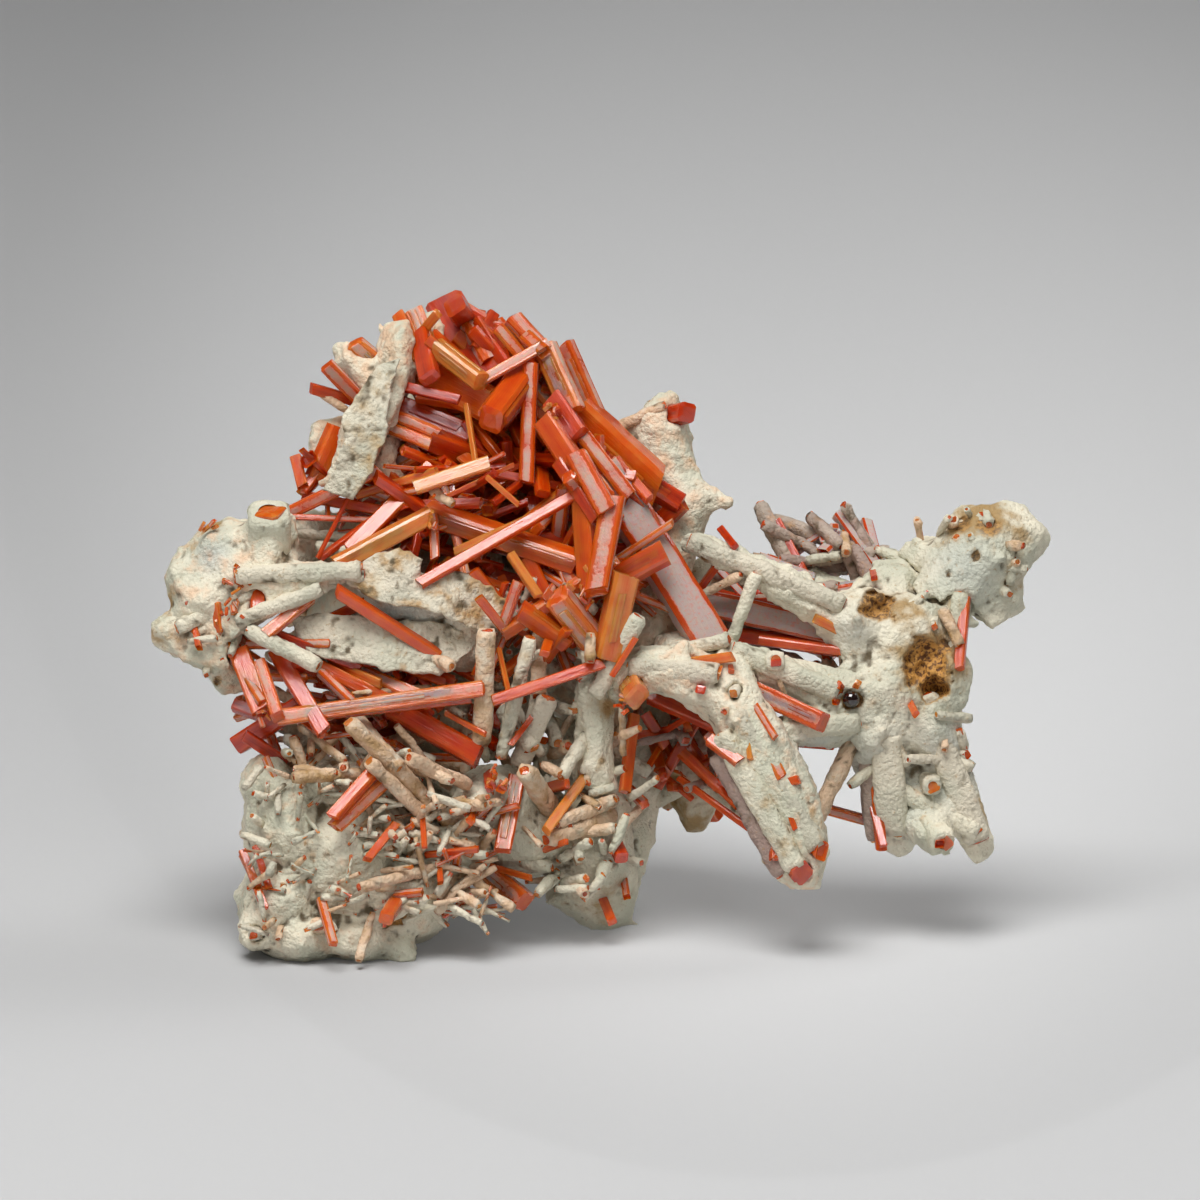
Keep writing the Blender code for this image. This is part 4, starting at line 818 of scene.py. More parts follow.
def crust_material():
    """Gibbsite-like crust: porcelain-pale and matt, iron-stained in its crevices, which also carry painted
    shade.

    Its small round grains give a soft, chalky surface with no shine.
    """
    crust, *_ = settings()
    made, surface, add = empty_material("gibbsite_crust")
    crest, ochre, blue, blush, lilac, limonite = (
        add("Attribute", attribute_name=name).outputs["Fac"]
        for name in ("crest", "ochre", "blue", "blush", "lilac", "limonite")
    )
    place = add("TexCoord").outputs["Object"]
    wide = add("TexNoise", {"Vector": place, "Scale": 1 / (7.0 * MM), "Detail": 3.0}).outputs["Fac"]
    middling = add("TexNoise", {"Vector": place, "Scale": 1 / (1.6 * MM), "Detail": 6.0}).outputs["Fac"]
    fine = add("TexNoise", {"Vector": place, "Scale": 1 / (0.4 * MM), "Detail": 7.0}).outputs["Fac"]
    film = add("Math", {0: lilac, 1: middling, 2: lilac}, operation="MULTIPLY_ADD").outputs[0]
    film = add("MapRange", {0: film, 1: 0.0, 2: 1.8}).outputs[0]
    dusty = add("Math", {0: blush, 1: 0.5, 2: middling}, operation="MULTIPLY_ADD").outputs[0]
    rusty = add("Math", {0: ochre, 1: 0.9, 2: middling}, operation="MULTIPLY_ADD").outputs[0]
    # Painted shade and stain: where the crust lies lower than its surroundings it takes the dark hollow
    # colour.
    low = add("Math", {0: middling, 1: crest}, operation="SUBTRACT").outputs[0]
    # Each value is softened between two bounds, and the last number is how strong it gets.
    patch, dust, rust, crevice_shade_and_stain = (
        add("MapRange", {0: value, 1: start, 2: end, 4: most}, interpolation_type="SMOOTHSTEP").outputs[0]
        for value, start, end, most in (
            (wide, 0.42, 0.6, 1.0),
            (dusty, 0.7, 1.0, 0.6),
            (rusty, 0.66, 1.1, 0.85),
            (low, 0.62, 1.7, 0.95),
        )
    )
    dots = add("MapRange", {0: fine, 1: 0.62, 2: 0.72, 4: 0.5}).outputs[0]
    body = linear(crust.milk)
    for share_of, code in (
        (patch, crust.mint),
        (blue, crust.blue),
        (film, crust.lilac),
        (dust, crust.blush),
        (rust, crust.ochre),
        (dots, crust.ochre),
        (crevice_shade_and_stain, crust.hollow),
    ):
        body = add("Mix", {0: share_of, 6: body, 7: linear(code)}, data_type="RGBA").outputs[2]
    # Limonite crumbs of about 0.4 mm: golden brown, and dark red-brown between.
    crumb = add("MapRange", {0: fine, 1: 0.4, 2: 0.56}, interpolation_type="SMOOTHSTEP").outputs[0]
    dark, bright = linear(crust.limonite_dark), linear(crust.limonite)
    crumbs = add("Mix", {0: crumb, 6: dark, 7: bright}, data_type="RGBA").outputs[2]
    body = add("Mix", {0: limonite, 6: body, 7: crumbs}, data_type="RGBA").outputs[2]
    # The crust's grains are round and 0.4 mm across, under a sugary skin of 0.15 mm ones.
    grains = add("TexVoronoi", {"Vector": place, "Scale": 1 / (0.42 * MM)}).outputs["Distance"]
    sugar = add("TexVoronoi", {"Vector": place, "Scale": 1 / (0.16 * MM)}).outputs["Distance"]
    relief = add("Math", {0: grains, 1: -0.9, 2: fine}, operation="MULTIPLY_ADD").outputs[0]
    relief = add("Math", {0: sugar, 1: -0.35, 2: relief}, operation="MULTIPLY_ADD").outputs[0]
    shader = add(
        "BsdfPrincipled",
        {
            "Base Color": body,
            "Roughness": 0.68,
            "IOR": 1.57,
            "Normal": add("Bump", {"Height": relief, "Distance": 0.16 * MM, "Strength": 0.9}).outputs[0],
        },
    )
    shader.id_data.links.new(shader.outputs[0], surface)
    return made


def bead_material():
    """A ball of dark manganese-iron oxide with a glassy skin: near black, with small sharp glints."""
    *_, trim, _ = settings()
    made, surface, add = empty_material("glassy_oxide")
    shader = add("BsdfPrincipled", {"Base Color": linear(trim.bead_colour), "Roughness": 0.08, "IOR": 1.9})
    shader.id_data.links.new(shader.outputs[0], surface)
    return made


def paper_material():
    """Matt background paper, with no shine and no pattern."""
    *_, stage = settings()
    made, surface, add = empty_material("sweep_paper")
    shader = add("BsdfPrincipled", {"Base Color": linear(stage.floor_colour), "Roughness": 0.85})
    shader.id_data.links.new(shader.outputs[0], surface)
    return made


# Crust


def ball(rounds):
    """The points and faces of a unit ball, rounder the more rounds."""
    shape = bmesh.new()
    bmesh.ops.create_icosphere(shape, subdivisions=rounds, radius=1.0)
    shape.verts.ensure_lookup_table()
    points = np.array([v.co for v in shape.verts])
    faces = [[v.index for v in f.verts] for f in shape.faces]
    shape.free()
    return points, faces


def across_of(direction):
    """Two unit vectors square to the direction and to each other."""
    helper = np.array((0.0, 0.0, 1.0)) if abs(direction[2]) < 0.9 else np.array((1.0, 0.0, 0.0))
    first = np.cross(direction, helper)
    first /= np.linalg.norm(first)
    return first, np.cross(direction, first)


def corners_of(mesh):
    """The three point numbers of each of a mesh's triangles."""
    mesh.calc_loop_triangles()
    found = np.empty(len(mesh.loop_triangles) * 3, np.int32)
    mesh.loop_triangles.foreach_get("vertices", found)
    return found.reshape(-1, 3)


def scattered(source, density, rng):
    """Random places on a piece's faces, so many per square mm, and the outward normals there."""
    base = points_of(source.data)
    a, b, c = (base[corner] for corner in corners_of(source.data).T)
    cross = np.cross(b - a, c - a)
    doubled = np.linalg.norm(cross, axis=1)
    count = int(doubled.sum() / 2 / MM**2 * density)
    chosen = rng.choice(len(a), size=count, p=doubled / doubled.sum())
    u, v = rng.random(count), rng.random(count)
    flip = u + v > 1
    u[flip], v[flip] = 1 - u[flip], 1 - v[flip]
    places = a[chosen] + (b - a)[chosen] * u[:, None] + (c - a)[chosen] * v[:, None]
    return list(zip(places, cross[chosen] / np.maximum(doubled[chosen], 1e-20)[:, None]))


def grown(name, source, seed, bristle):
    """The limb with loose nodules and rods set into its faces, still unfused."""
    crust, *_ = settings()
    rng = np.random.default_rng(seed)
    base = points_of(source.data)
    vertices = [base + normals_of(source.data) * 0.2 * MM]
    faces = corners_of(source.data).tolist()
    total = len(base)
    unit, unit_faces = ball(2)
    for place, normal in scattered(source, crust.nodules, rng):
        size = crust.nodule * MM * rng.uniform(0.45, 1.25)
        # The far side is lumpier.
        size *= 1.9 if normal @ DEEP > 0.3 and rng.random() < 0.4 else 1.0
        sunk = normal * size * rng.uniform(0.0, 0.5)
        vertices.append(place - sunk + unit * size * rng.uniform(0.8, 1.15, 3))
        faces += [[index + total for index in face] for face in unit_faces]
        total += len(unit)
    sides = 7
    turn = np.arange(sides) * 2 * math.pi / sides
    for place, normal in scattered(source, crust.rods * bristle, rng):
        heading = rng.normal(size=3)
        heading -= normal * (heading @ normal) * rng.uniform(0.85, 1.0)
        heading /= np.linalg.norm(heading)
        size = crust.rod * MM * rng.uniform(0.6, 1.4)
        reach = crust.rod_length * MM * rng.uniform(0.5, 1.5) / 2
        first, second = across_of(heading)
        ring = (np.outer(np.cos(turn), first) + np.outer(np.sin(turn), second)) * size
        middle = place - normal * size * 0.2
        vertices.append(np.vstack((middle - heading * reach + ring, middle + heading * reach + ring)))
        faces.append([total + i for i in range(sides)][::-1])
        faces.append([total + sides + i for i in range(sides)])
        faces += [[i, j, sides + j, sides + i] for i, j in ring_edges(total, sides)]
        total += 2 * sides
    return new_object(name, np.vstack(vertices), faces)


def fuse(made):
    """Turns a heap of overlapping closed shapes into one closed skin of even cells."""
    crust, *_ = settings()
    remesh = made.modifiers.new("fuse", "REMESH")
    remesh.mode = "VOXEL"
    remesh.voxel_size = crust.grain * MM
    bpy.context.view_layer.update()
    evaluated = made.evaluated_get(bpy.context.evaluated_depsgraph_get())
    fused = bpy.data.meshes.new_from_object(evaluated)
    made.modifiers.clear()
    made.data = fused
    return fused


def pitted(points):
    """The points with the pits pushed in, and how brown each one is."""
    browned = np.zeros(len(points))
    uneven = 1.0 + 0.45 * lattice_noise(points, 1.3 * MM, 9) + 0.15 * lattice_noise(points, 0.5 * MM, 10)
    for place, radius, depth, brown in PITS:
        offset = points - seen(place)
        deep = offset @ DEEP
        flat = np.linalg.norm(offset - np.outer(deep, DEEP), axis=1) / (radius * MM * uneven)
        near = (flat < 1.0) & (deep < 2.5 * MM) & (deep > -4.0 * MM)
        sink = (1.0 - flat[near] ** 2) ** 0.7
        crumbs = 1.0 + 0.5 * lattice_noise(points[near], 0.6 * MM, 12)
        points[near] += np.outer(sink * depth * MM * crumbs, DEEP)
        browned[near] = np.maximum(browned[near], brown * np.minimum(1.0, sink * 1.6))
    return points, browned


def crust_of(name, source, seed, blush, bristle):
    """The limb's crust: the CAD limb with nodules and rods grown into it, fused and made rough."""
    crust, *_ = settings()
    made = grown(name, source, seed, bristle)
    fused = fuse(made)
    points = smoothed(fused, points_of(fused), 1)
    fused.vertices.foreach_set("co", points.astype(np.float32).ravel())
    fused.update()
    relief = lattice_noise(points, 1.0 * MM, 3) * 0.5 + lattice_noise(points, 0.5 * MM, 5) * 0.5
    points, browned = pitted(points + normals_of(fused) * (relief * crust.roughness * MM)[:, None])
    points[:, 2] = np.maximum(points[:, 2], 0.0)
    fused.vertices.foreach_set("co", points.astype(np.float32).ravel())
    fused.update()
    # A crest stands above its surroundings, over a little way and over a longer one.
    crest = np.zeros(len(points))
    soft = points
    for rounds, height in ((6, 0.14), (40, 0.4)):
        soft = smoothed(fused, soft, rounds)
        crest += np.einsum("ij,ij->i", points - soft, normals_of(fused)) / (height * MM)
    ochre, blue = browned.copy(), np.zeros(len(points))
    for place, radius, warm, cool in STAINS:
        near = np.exp(-((np.linalg.norm(points - seen(place), axis=1) / (radius * MM)) ** 2))
        ochre = np.maximum(ochre, near * warm)
        blue = np.maximum(blue, near * cool)
    for label, values in (
        # The pits read lower still, so they take more of the painted crevice shade.
        ("crest", np.clip(crest, -1.6, 1.6) - browned * 0.3),
        ("limonite", browned),
        ("ochre", ochre),
        ("blue", blue),
        ("blush", np.full(len(points), blush)),
    ):
        store(fused, label, values)
    fused.shade_smooth()
    return made


def along_line(places, count):
    """Evenly spaced places along a line through the given places."""
    places = np.array(places, float)
    far = np.concatenate(([0.0], np.cumsum(np.linalg.norm(np.diff(places, axis=0), axis=1))))
    even = np.linspace(0.0, far[-1], count)
    return np.column_stack([np.interp(even, far, places[:, axis]) for axis in range(3)])


def plates(name, material):
    """The thin wavy plates of crust, as one closed mesh each, joined."""
    crust, _, trim, _ = settings()
    points, faces, ochres, blushes, total = [], [], [], [], 0
    columns, rows = 84, 26
    flat = (0.0, 0.0, 1.0)  # a plate is thick along the drawing's depth
    for first, last, ochre, blush in PLATES:
        down = np.linspace(0.0, 1.0, rows)[:, None, None]
        sheet = along_line(first, columns) * (1 - down) + along_line(last, columns) * down
        sheet = sheet.reshape(-1, 3)
        wave = lattice_noise(seen(sheet), 3.2 * MM, 31) * trim.wave
        ragged = np.column_stack([lattice_noise(seen(sheet), 0.9 * MM, seed) * 0.3 for seed in (32, 33)])
        sheet = sheet + np.column_stack((ragged, wave))
        grid = np.arange(rows * columns).reshape(rows, columns)
        rim = np.concatenate((grid[0], grid[1:, -1], grid[-1, -2::-1], grid[-2:0:-1, 0]))
        thick = np.full(len(sheet), trim.plate / 2)
        thick[rim] *= 0.5
        count = len(sheet)
        for side in (-1.0, 1.0):
            rough = lattice_noise(seen(sheet) + side, 0.45 * MM, 34)
            rough += lattice_noise(seen(sheet), 1.1 * MM, 35)
            points.append(sheet + np.outer(side * (thick + rough * crust.roughness * 0.5), flat))
            quads = np.stack((grid[:-1, :-1], grid[:-1, 1:], grid[1:, 1:], grid[1:, :-1]), -1).reshape(-1, 4)
            faces += (quads[:, :: int(side)] + total + (count if side > 0 else 0)).tolist()
        round_rim = zip(rim + total, np.roll(rim, -1) + total)
        faces += [[a, b, b + count, a + count] for a, b in round_rim]
        total += 2 * count
        ochres.append(np.full(2 * count, ochre))
        blushes.append(np.full(2 * count, blush))
    places = seen(np.vstack(points))
    made = new_object(name, places, faces)
    rough = lattice_noise(places, 0.5 * MM, 36) + lattice_noise(places, 1.4 * MM, 37)
    patchy = 0.5 + 0.5 * lattice_noise(places, 2.6 * MM, 38)
    for label, values in (
        ("crest", rough),
        ("ochre", np.concatenate(ochres) * 2.0 * patchy),
        ("blush", np.concatenate(blushes) * patchy),
        ("lilac", 0.3 * (1.0 - patchy)),
    ):
        store(made.data, label, values)
    made.data.shade_smooth()
    placed(made, material)


class Sheaths:
    """Crust-covered rods gathered in one mesh."""

    def __init__(self, seed):
        self.rng = np.random.default_rng(seed)
        self.points, self.outs, self.faces, self.total = [], [], [], 0
        self.stored = {"ochre": [], "lilac": [], "blush": []}

    def rod(self, root, tip, width, coat):
        """A rounded rod that is open at both ends for its crystal. Places in metres and the width in mm."""
        crust, *_ = settings()
        along = tip - root
        reach = np.linalg.norm(along)
        along = along / reach
        first, second = across_of(along)
        step = 0.45  # mm between the rod's points
        sides = int(np.clip(math.pi * width / step, 7, 20))
        turn = (np.arange(sides) + self.rng.random()) * 2 * math.pi / sides
        squared = (np.abs(np.cos(turn)) ** 5 + np.abs(np.sin(turn)) ** 5) ** (-1 / 5)
        outs = np.outer(np.cos(turn), first) + np.outer(np.sin(turn), second)
        heights = np.linspace(0.0, reach, max(4, int(reach / (step * MM))))
        inside = crust.core * 0.5 * MM * width
        outside = 0.48 * MM * width * squared
        layers = [(0.15 * MM, inside * 0.8)]
        layers += [(height, outside) for height in heights]
        layers[1] = (0.0, outside * 0.75)
        layers[-1] = (reach, outside * 0.78)
        layers.append((reach - 0.1 * MM, inside * 0.8))
        swing = self.rng.uniform(0.0, 6.0)
        for number, (height, radius) in enumerate(layers):
            radius = np.broadcast_to(radius, sides) * (1.0 + 0.04 * math.sin(swing + height / (1.4 * MM)))
            self.points.append(root + along * height + outs * radius[:, None])
            # Only the outside is rough: the two layers that turn inwards stay where they are.
            self.outs.append(outs * (0.0 if number in (0, len(layers) - 1) else 1.0))
        for layer in range(len(layers) - 1):
            edges = ring_edges(self.total + layer * sides, sides)
            self.faces += [[i, j, sides + j, sides + i] for i, j in edges]
        for name, value in zip(self.stored, coat):
            value = np.clip(value + self.rng.uniform(-0.15, 0.15), 0.0, 1.0)
            self.stored[name].append(np.full(len(layers) * sides, value))
        self.total += len(layers) * sides

    def made(self, name, material):
        """The rods as one piece with a bumpy crust."""
        crust, *_ = settings()
        points, outs = np.vstack(self.points), np.vstack(self.outs)
        bumps = lattice_noise(points, 0.42 * MM, 21) * 0.6 + lattice_noise(points, 1.1 * MM, 22) * 0.8
        points = points + outs * (bumps * crust.roughness * 0.8 * MM)[:, None]
        points[:, 2] = np.maximum(points[:, 2], 0.0)
        made = new_object(name, points, self.faces)
        store(made.data, "crest", bumps * 1.3 + 0.2)
        for label, parts in self.stored.items():
            store(made.data, label, np.concatenate(parts))
        made.data.shade_smooth()
        placed(made, material)


# Crystals


class Heap:
    """Crystals gathered in one mesh."""

    def __init__(self, seed):
        self.rng = np.random.default_rng(seed)
        self.sheaths = Sheaths(seed + 500)
        self.vertices, self.faces, self.maps, self.total = [], [], [], 0
        self.stored = {"tone": [], "coat": [], "edge": [], "warm": []}

    def bar(self, root, tip, width, look, flat, roll, hollow=0.0):
        """One prism with bevelled edges and slanted ends. Places in metres and widths in mm."""
        _, sizes, *_ = settings()
        rng = self.rng
        tone, coat, warm = look
        along = tip - root
        reach = np.linalg.norm(along)
        along = along / reach
        first = np.cross(along, DEEP) + 1e-4
        first /= np.linalg.norm(first)
        second = np.cross(along, first)
        first, second = (
            first * math.cos(roll) + second * math.sin(roll),
            second * math.cos(roll) - first * math.sin(roll),
        )
        half, thin = width * MM / 2, width * MM / 2 * flat
        bevel = sizes.bevel * thin * 2
        outline = [
            (half, thin - bevel, 1), (half - bevel, thin, 1), (0.0, thin * 1.02, 0),
            (bevel - half, thin, 1), (-half, thin - bevel, 1), (-half * 1.02, 0.0, 0),
            (-half, bevel - thin, 1), (bevel - half, -thin, 1), (0.0, -thin * 1.02, 0),
            (half - bevel, -thin, 1), (half, bevel - thin, 1), (half * 1.02, 0.0, 0),
        ]
        section = np.array([(x + 0.12 * y, y) for x, y, _ in outline])
        edge = np.array([mark for *_, mark in outline], float)
        sides = len(section)
        steps = np.linalg.norm(np.roll(section, -1, axis=0) - section, axis=1)
        around = np.concatenate(([0.0], np.cumsum(steps))) / MM
        rings = max(3, int(reach / (2.2 * MM)) + 2)
        slants = rng.uniform(-sizes.slant, sizes.slant, (2, 2))
        offset = rng.uniform(0.0, 40.0)
        start = self.total
        for ring in range(rings):
            share_along = ring / (rings - 1)
            scale = 1.0 + (rng.uniform(-0.03, 0.03) if 0 < ring < rings - 1 else 0.0)
            shape = section * scale
            lean = slants[0] * (1 - share_along) ** 4 + slants[1] * share_along**4
            height = reach * share_along + shape @ lean * (1.0 if share_along > 0.5 else 0.6)
            self.vertices.append(root + shape @ (first, second) + np.outer(height, along))
            self.keep(sides, tone, coat, edge, warm)
        for ring in range(rings - 1):
            v0, v1 = (reach / MM * at / (rings - 1) + offset for at in (ring, ring + 1))
            edges = ring_edges(start + ring * sides, sides)
            for (i, j), u0, u1 in zip(edges, around + offset, around[1:] + offset):
                self.faces.append([i, j, j + sides, i + sides])
                self.maps += [(u0, v0), (u1, v0), (u1, v1), (u0, v1)]
        self.total += rings * sides
        for end, ring in ((0, 0), (1, rings - 1)):
            rim = start + ring * sides
            inner = section * (0.62 if hollow else 0.55)
            rise = (-hollow if hollow else rng.uniform(-0.1, 0.3)) * half * (1 if end else -1)
            height = (reach if end else 0.0) + inner @ slants[end] * (1.0 if end else 0.6) + rise
            self.vertices.append(root + inner @ (first, second) + np.outer(height, along))
            self.keep(sides, min(1.0, tone + 0.12), 0.0, np.zeros(sides), warm)
            for i in range(sides):
                j = (i + 1) % sides
                quad = [rim + i, rim + j, self.total + j, self.total + i]
                self.faces.append(quad if end else quad[::-1])
                self.maps += [(around[i], offset)] * 4
            cap = [self.total + i for i in range(sides)]
            self.faces.append(cap if end else cap[::-1])
            self.maps += [(0.3 * i, offset) for i in range(sides)]
            self.total += sides

    def keep(self, count, tone, coat, edge, warm):
        """Keeps what the material reads for the next so many points."""
        for name, value in (("tone", tone), ("coat", coat), ("edge", edge), ("warm", warm)):
            self.stored[name].append(np.broadcast_to(np.asarray(value, float), (count,)))

    def crystal(self, root, tip, width, look, turn=math.pi):
        """A crystal with its laths. The places are in the drawing's mm, and turn is how far it may roll."""
        crust, sizes, *_ = settings()
        rng = self.rng
        root, tip = seen(root), seen(tip)
        if look in SHEATHS:
            along = (tip - root) / np.linalg.norm(tip - root)
            reach = rng.uniform(-0.15, 0.12) * MM
            shade = (rng.uniform(0.3, 0.8), 0.35 * (rng.random() < 0.7), 0.7)
            self.sheaths.rod(root, tip, width, SHEATHS[look])
            core = width * crust.core
            self.bar(root - along * reach, tip + along * reach, core, shade, 0.9, rng.uniform(0, 3.0))
            return
        tone, coat, warm = LOOKS[look]
        tone = tone + rng.uniform(-0.12, 0.12)
        flat, roll = rng.uniform(0.65, 0.98), rng.uniform(-turn, turn)
        hollow = rng.uniform(0.3, 1.1) if rng.random() < 0.3 else 0.0
        self.bar(root, tip, width * 0.97, (tone, coat, warm), flat, roll, hollow)
        if width < sizes.broad:
            return
        along = (tip - root) / np.linalg.norm(tip - root)
        reach = np.linalg.norm(tip - root)
        first = np.cross(along, DEEP) + 1e-4
        first /= np.linalg.norm(first)
        second = np.cross(along, first)
        for _ in range(rng.integers(1, 4)):
            angle = roll + rng.integers(0, 4) * math.pi / 2 + rng.uniform(-0.3, 0.3)
            side = first * math.cos(angle) + second * math.sin(angle)
            size = width * sizes.lath * rng.uniform(0.5, 1.1)
            out = side * (width * flat * 0.5 - size * 0.3) * MM
            low, high = rng.uniform(0.0, 0.35) * reach, rng.uniform(0.0, 0.3) * reach
            shade = (tone + rng.uniform(-0.1, 0.2), coat, warm)
            ends = root + out + along * low, tip + out - along * high
            self.bar(*ends, size, shade, rng.uniform(0.5, 1.0), roll)

    def made(self, name, material):
        """The crystals as one piece."""
        points = np.vstack(self.vertices)
        points[:, 2] = np.maximum(points[:, 2], 0.0)
        made = new_object(name, points, self.faces)
        layer = made.data.uv_layers.new(name="UVMap")
        layer.data.foreach_set("uv", np.asarray(self.maps, np.float32).ravel())
        for label, parts in self.stored.items():
            store(made.data, label, np.concatenate(parts))
        return placed(made, material)


def limbs_tree():
    """All limbs of the matrix as one search tree."""
    points, faces, total = [], [], 0
    for node in nodes_named("matrix_"):
        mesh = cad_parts[node].data
        points += points_of(mesh).tolist()
        faces += [[total + index for index in face.vertices] for face in mesh.polygons]
        total += len(mesh.vertices)
    return BVHTree.FromPolygons(points, faces)


def within(place, width, slack=0.0):
    """Whether a crystal's end is in the solids' box, or out of it by the slack at most. All in mm."""
    point, margin = seen(place), (width * 0.5 - slack) * MM
    low, high = np.array(first_bounds[0]) + margin, np.array(first_bounds[1]) - margin
    return bool(np.all(point > low) and np.all(point < high))


def strew(heap, count, middle, half, heading, spread, lengths, widths, looks):
    """Adds crystals at random places of a box, in roughly one direction, but none over the open pits."""
    rng = heap.rng
    for _ in range(count):
        aim = np.array(heading) / np.linalg.norm(heading) + rng.normal(size=3) * spread
        aim /= np.linalg.norm(aim)
        place = np.array(middle) + np.array(half) * rng.uniform(-1.0, 1.0, 3)
        reach = aim * rng.uniform(*lengths) / 2
        look = rng.choice(looks.split())
        width = rng.uniform(*widths)
        hollows = [(pit, radius + CLEARANCE) for pit, radius, _, _ in PITS[:OPEN_PITS]]
        over_pit = any(math.dist(place[:2], pit[:2]) < reached for pit, reached in hollows)
        if within(place - reach, width) and within(place + reach, width) and not over_pit:
            heap.crystal(place - reach, place + reach, width, look)


def lay_behind(heap, tree, limb, density):
    """Lays crystals on a limb's far side, where the limbs hide them from the front."""
    rng = heap.rng
    for place, normal in scattered(limb, density, rng):
        lean = rng.normal(size=3)
        lean -= normal * (lean @ normal)
        lean = lean / np.linalg.norm(lean) + normal * rng.uniform(-0.12, 0.25)
        width = rng.uniform(*BACK_WIDTHS)
        middle = drawn(place) + drawn_along(normal) * width * rng.uniform(-0.45, 0.15)
        reach = drawn_along(lean) * rng.uniform(*BACK_REACHES)
        ends = (middle - reach * 1.1, middle + reach * 1.1)
        inside = all(within(end, width, BACK_SLACK) for end in ends)
        hidden = all(tree.ray_cast(Vector(seen(end)), Vector(-DEEP))[0] for end in ends)
        if normal @ DEEP > 0.15 and inside and hidden:
            heap.crystal(middle - reach, middle + reach, width, rng.choice(BACK_LOOKS))


def material_named(name, maker):
    """The material of that name, made when it is first asked for."""
    return bpy.data.materials.get(name) or maker()


def nodes_named(prefix):
    """The CAD nodes whose names start so."""
    return [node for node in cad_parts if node.startswith(prefix)]


# Operators


class CROCOITE_OT_crust(bpy.types.Operator):
    """Grows the pale crust on every limb of the matrix"""

    bl_idname = "crocoite.crust"
    bl_label = "Crust"

    def execute(self, context):
        material = material_named("gibbsite_crust", crust_material)
        for number, node in enumerate(sorted(nodes_named("matrix_"))):
            blush, bristle = LIMBS.get(node, (0.2, 1.0))
            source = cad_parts[node]
            limb = crust_of(node.replace("matrix", "crust"), source, 40 + number, blush, bristle)
            limb.data.materials.clear()
            placed(limb, material)
            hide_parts(node)
        return {"FINISHED"}


class CROCOITE_OT_crystals(bpy.types.Operator):
    """Grows the crystals of every part of the specimen, those drawn and those strewn"""

    bl_idname = "crocoite.crystals"
    bl_label = "Crystals"

    def execute(self, context):
        _, sizes, *_ = settings()
        material = material_named("crocoite_crystal", crocoite_material)
        tree = limbs_tree()
        for number, (region, rows) in enumerate(CRYSTALS.items()):
            heap = Heap(sizes.seed + number)
            for row in rows:
                heap.crystal(row[:3], row[3:6], row[6], row[7], turn=0.6)
            for piece, *row in STREWN:
                if piece == region:
                    strew(heap, *row)
            for node, piece, density in BACKED:
                if piece == region:
                    lay_behind(heap, tree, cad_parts[node], density)
            made = heap.made("crystals_" + region, material)
            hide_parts(*nodes_named("crocoite_" + region + "_"))
            if heap.sheaths.total:
                crust = material_named("gibbsite_crust", crust_material)
                heap.sheaths.made("sheaths_" + region, crust)
        return {"FINISHED"}


class CROCOITE_OT_druse(bpy.types.Operator):
    """Sprinkles patches of tiny sparkling crystals"""

    bl_idname = "crocoite.druse"
    bl_label = "Druse"

    def execute(self, context):
        _, sizes, *_ = settings()
        heap = Heap(sizes.seed + 100)
        for middle, radius, count in DRUSE:
            for _ in range(count // 2):
                out = heap.rng.normal(size=3) * (1.0, 1.0, 0.5) - (0.0, 0.0, 0.9)
                out /= np.linalg.norm(out)
                place = np.array(middle) + heap.rng.normal(size=3) * radius * (0.6, 0.6, 0.2)
                tip = place + out * heap.rng.uniform(0.3, 0.8)
                look = heap.rng.choice(("orange", "gold", "rose"))
                heap.crystal(place - out * 0.4, tip, heap.rng.uniform(0.25, 0.5), look)
        heap.made("druse", material_named("crocoite_crystal", crocoite_material))
        return {"FINISHED"}


class CROCOITE_OT_plates(bpy.types.Operator):
    """Lays the thin wavy plates of crust"""

    bl_idname = "crocoite.plates"
    bl_label = "Plates"

    def execute(self, context):
        plates("crust_plates", material_named("gibbsite_crust", crust_material))
        return {"FINISHED"}


class CROCOITE_OT_bead(bpy.types.Operator):
    """Sets the glassy black bead in its pit"""

    bl_idname = "crocoite.bead"
    bl_label = "Bead"

    def execute(self, context):
        *_, trim, _ = settings()
        unit, faces = ball(4)
        bead = new_object("bead", seen((25.3, 27.2, -7.2)) + unit * trim.bead * MM, faces)
        bead.data.shade_smooth()
        placed(bead, bead_material())
        return {"FINISHED"}


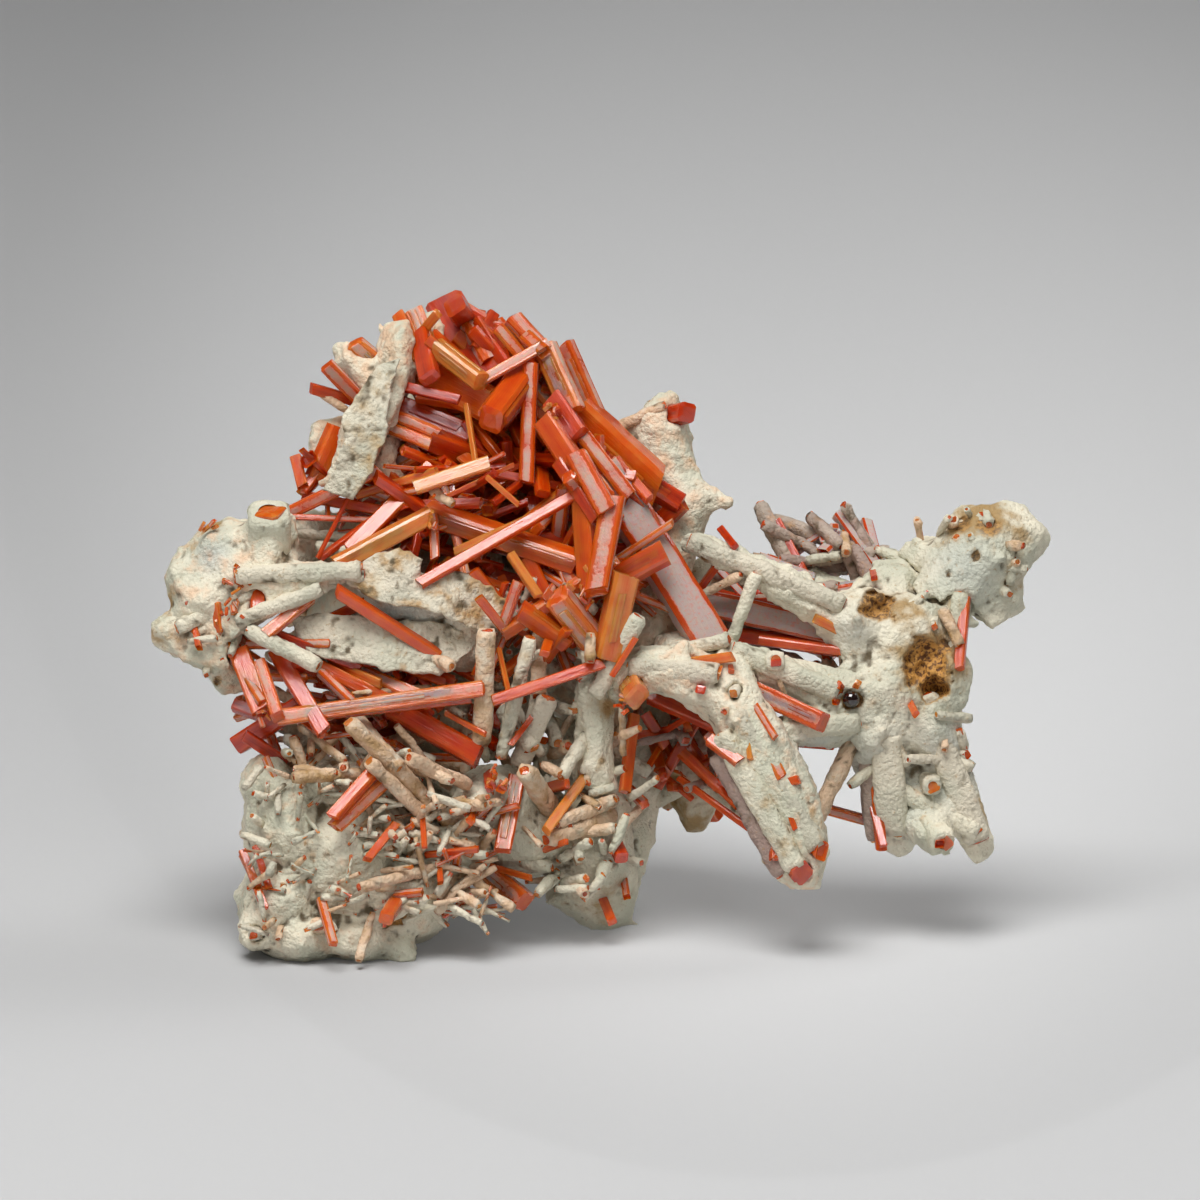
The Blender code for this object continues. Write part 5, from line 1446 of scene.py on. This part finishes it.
class CROCOITE_OT_stage(bpy.types.Operator):
    """Sets up the pale round sweep, the soft lights and the camera"""

    bl_idname = "crocoite.stage"
    bl_label = "Stage"

    def execute(self, context):
        *_, stage = settings()
        # A round bowl: flat under the specimen and raised far outside, so that every side can be seen.
        flat, bowl = stage.floor_radius, stage.bowl
        rise = [(radius, 0.0) for radius in (0.15, 0.6, 1.2, flat)]
        rise += [(flat + bowl * math.sin(a), bowl - bowl * math.cos(a)) for a in np.linspace(0.1, 1.5, 12)]
        turn = np.linspace(0.0, 2 * math.pi, 72, endpoint=False)
        vertices = [(radius * math.cos(a), radius * math.sin(a), z) for radius, z in rise for a in turn]
        count = len(turn)
        faces = [list(range(count))]
        for low in range(0, count * (len(rise) - 1), count):
            faces += [[i, i + count, j + count, j] for i, j in ring_edges(low, count)]
        sweep = new_object("sweep", vertices, faces)
        sweep.data.shade_smooth()
        sweep.data.materials.append(paper_material())
        aim = Vector(seen((0.0, 37.2, -18.0)))
        for name, place, size, power in (
            ("key", (-0.1, -0.3, 0.75), 0.5, stage.key_power),
            ("fill", (-0.7, -0.6, 0.3), 0.6, stage.fill_power),
            ("front", (0.35, -1.1, 0.5), 0.5, stage.fill_power),
            ("rim", (0.5, 0.35, 0.5), 0.3, stage.fill_power),
        ):
            lamp = bpy.data.lights.new(name, "AREA")
            lamp.energy, lamp.size = power, size
            light = bpy.data.objects.new(name, lamp)
            context.scene.collection.objects.link(light)
            light.location = place
            light.rotation_euler = (aim - light.location).to_track_quat("-Z", "Y").to_euler()
            # The fills only lift the shadows: mirrored, they would veil the crystals' colour.
            light.visible_glossy = name in ("key", "rim")
        # A round pool of light on the paper alone, seen round from the camera.
        beam = bpy.data.lights.new("pool", "SPOT")
        beam.energy, beam.spot_size, beam.spot_blend = stage.pool_power, math.radians(6.6), 1.0
        pool = bpy.data.objects.new("pool", beam)
        context.scene.collection.objects.link(pool)
        pool.location = aim - Vector(DEEP) * stage.distance * 0.9
        middle = aim + Vector((0.018, 0.0, 0.02))
        pool.rotation_euler = (middle - pool.location).to_track_quat("-Z", "Y").to_euler()
        lit = bpy.data.collections.new("lit_by_pool")
        lit.objects.link(sweep)
        pool.light_linking.receiver_collection = lit
        pool.light_linking.blocker_collection = lit
        world = bpy.data.worlds.new("soft")
        world.use_nodes = True
        world.node_tree.nodes["Background"].inputs["Color"].default_value = (1.0, 1.0, 1.0, 1.0)
        world.node_tree.nodes["Background"].inputs["Strength"].default_value = stage.sky
        context.scene.world = world
        context.scene.view_settings.view_transform = "Standard"
        lens = bpy.data.cameras.new("camera")
        lens.sensor_width, lens.lens, lens.clip_start = 36.0, stage.lens, 0.05
        camera = bpy.data.objects.new("camera", lens)
        context.scene.collection.objects.link(camera)
        camera.location = aim - Vector(DEEP) * stage.distance
        camera.rotation_euler = (aim - camera.location).to_track_quat("-Z", "Y").to_euler()
        context.scene.camera = camera
        return {"FINISHED"}


class CROCOITE_PT_panel(bpy.types.Panel):
    """The specimen's pieces, one button each"""

    bl_idname = "CROCOITE_PT_panel"
    bl_label = "Crocoite on matrix"
    bl_space_type = "VIEW_3D"
    bl_region_type = "UI"
    bl_category = "Crocoite"

    def draw(self, context):
        for operator in OPERATORS:
            self.layout.operator(operator.bl_idname)
        for group in settings():
            box = self.layout.box()
            for name in type(group).__annotations__:
                box.prop(group, name)


GROUPS = {
    "crocoite_crust": CrustSettings,
    "crocoite_crystals": CrystalSettings,
    "crocoite_trim": TrimSettings,
    "crocoite_stage": StageSettings,
}
OPERATORS = (
    CROCOITE_OT_crust,
    CROCOITE_OT_plates,
    CROCOITE_OT_crystals,
    CROCOITE_OT_druse,
    CROCOITE_OT_bead,
    CROCOITE_OT_stage,
)


def register():
    """Makes the settings, the operators and the panel known to Blender."""
    for made in (*GROUPS.values(), *OPERATORS, CROCOITE_PT_panel):
        bpy.utils.register_class(made)
    for name, group in GROUPS.items():
        setattr(bpy.types.Scene, name, bpy.props.PointerProperty(type=group))


def unregister():
    """Takes them out again."""
    for name in GROUPS:
        delattr(bpy.types.Scene, name)
    for made in reversed((*GROUPS.values(), *OPERATORS, CROCOITE_PT_panel)):
        bpy.utils.unregister_class(made)


def main():
    """Builds every piece in order."""
    register()
    for operator in OPERATORS:
        group, name = operator.bl_idname.split(".")
        getattr(getattr(bpy.ops, group), name)()


if __name__ == "__main__":
    main()
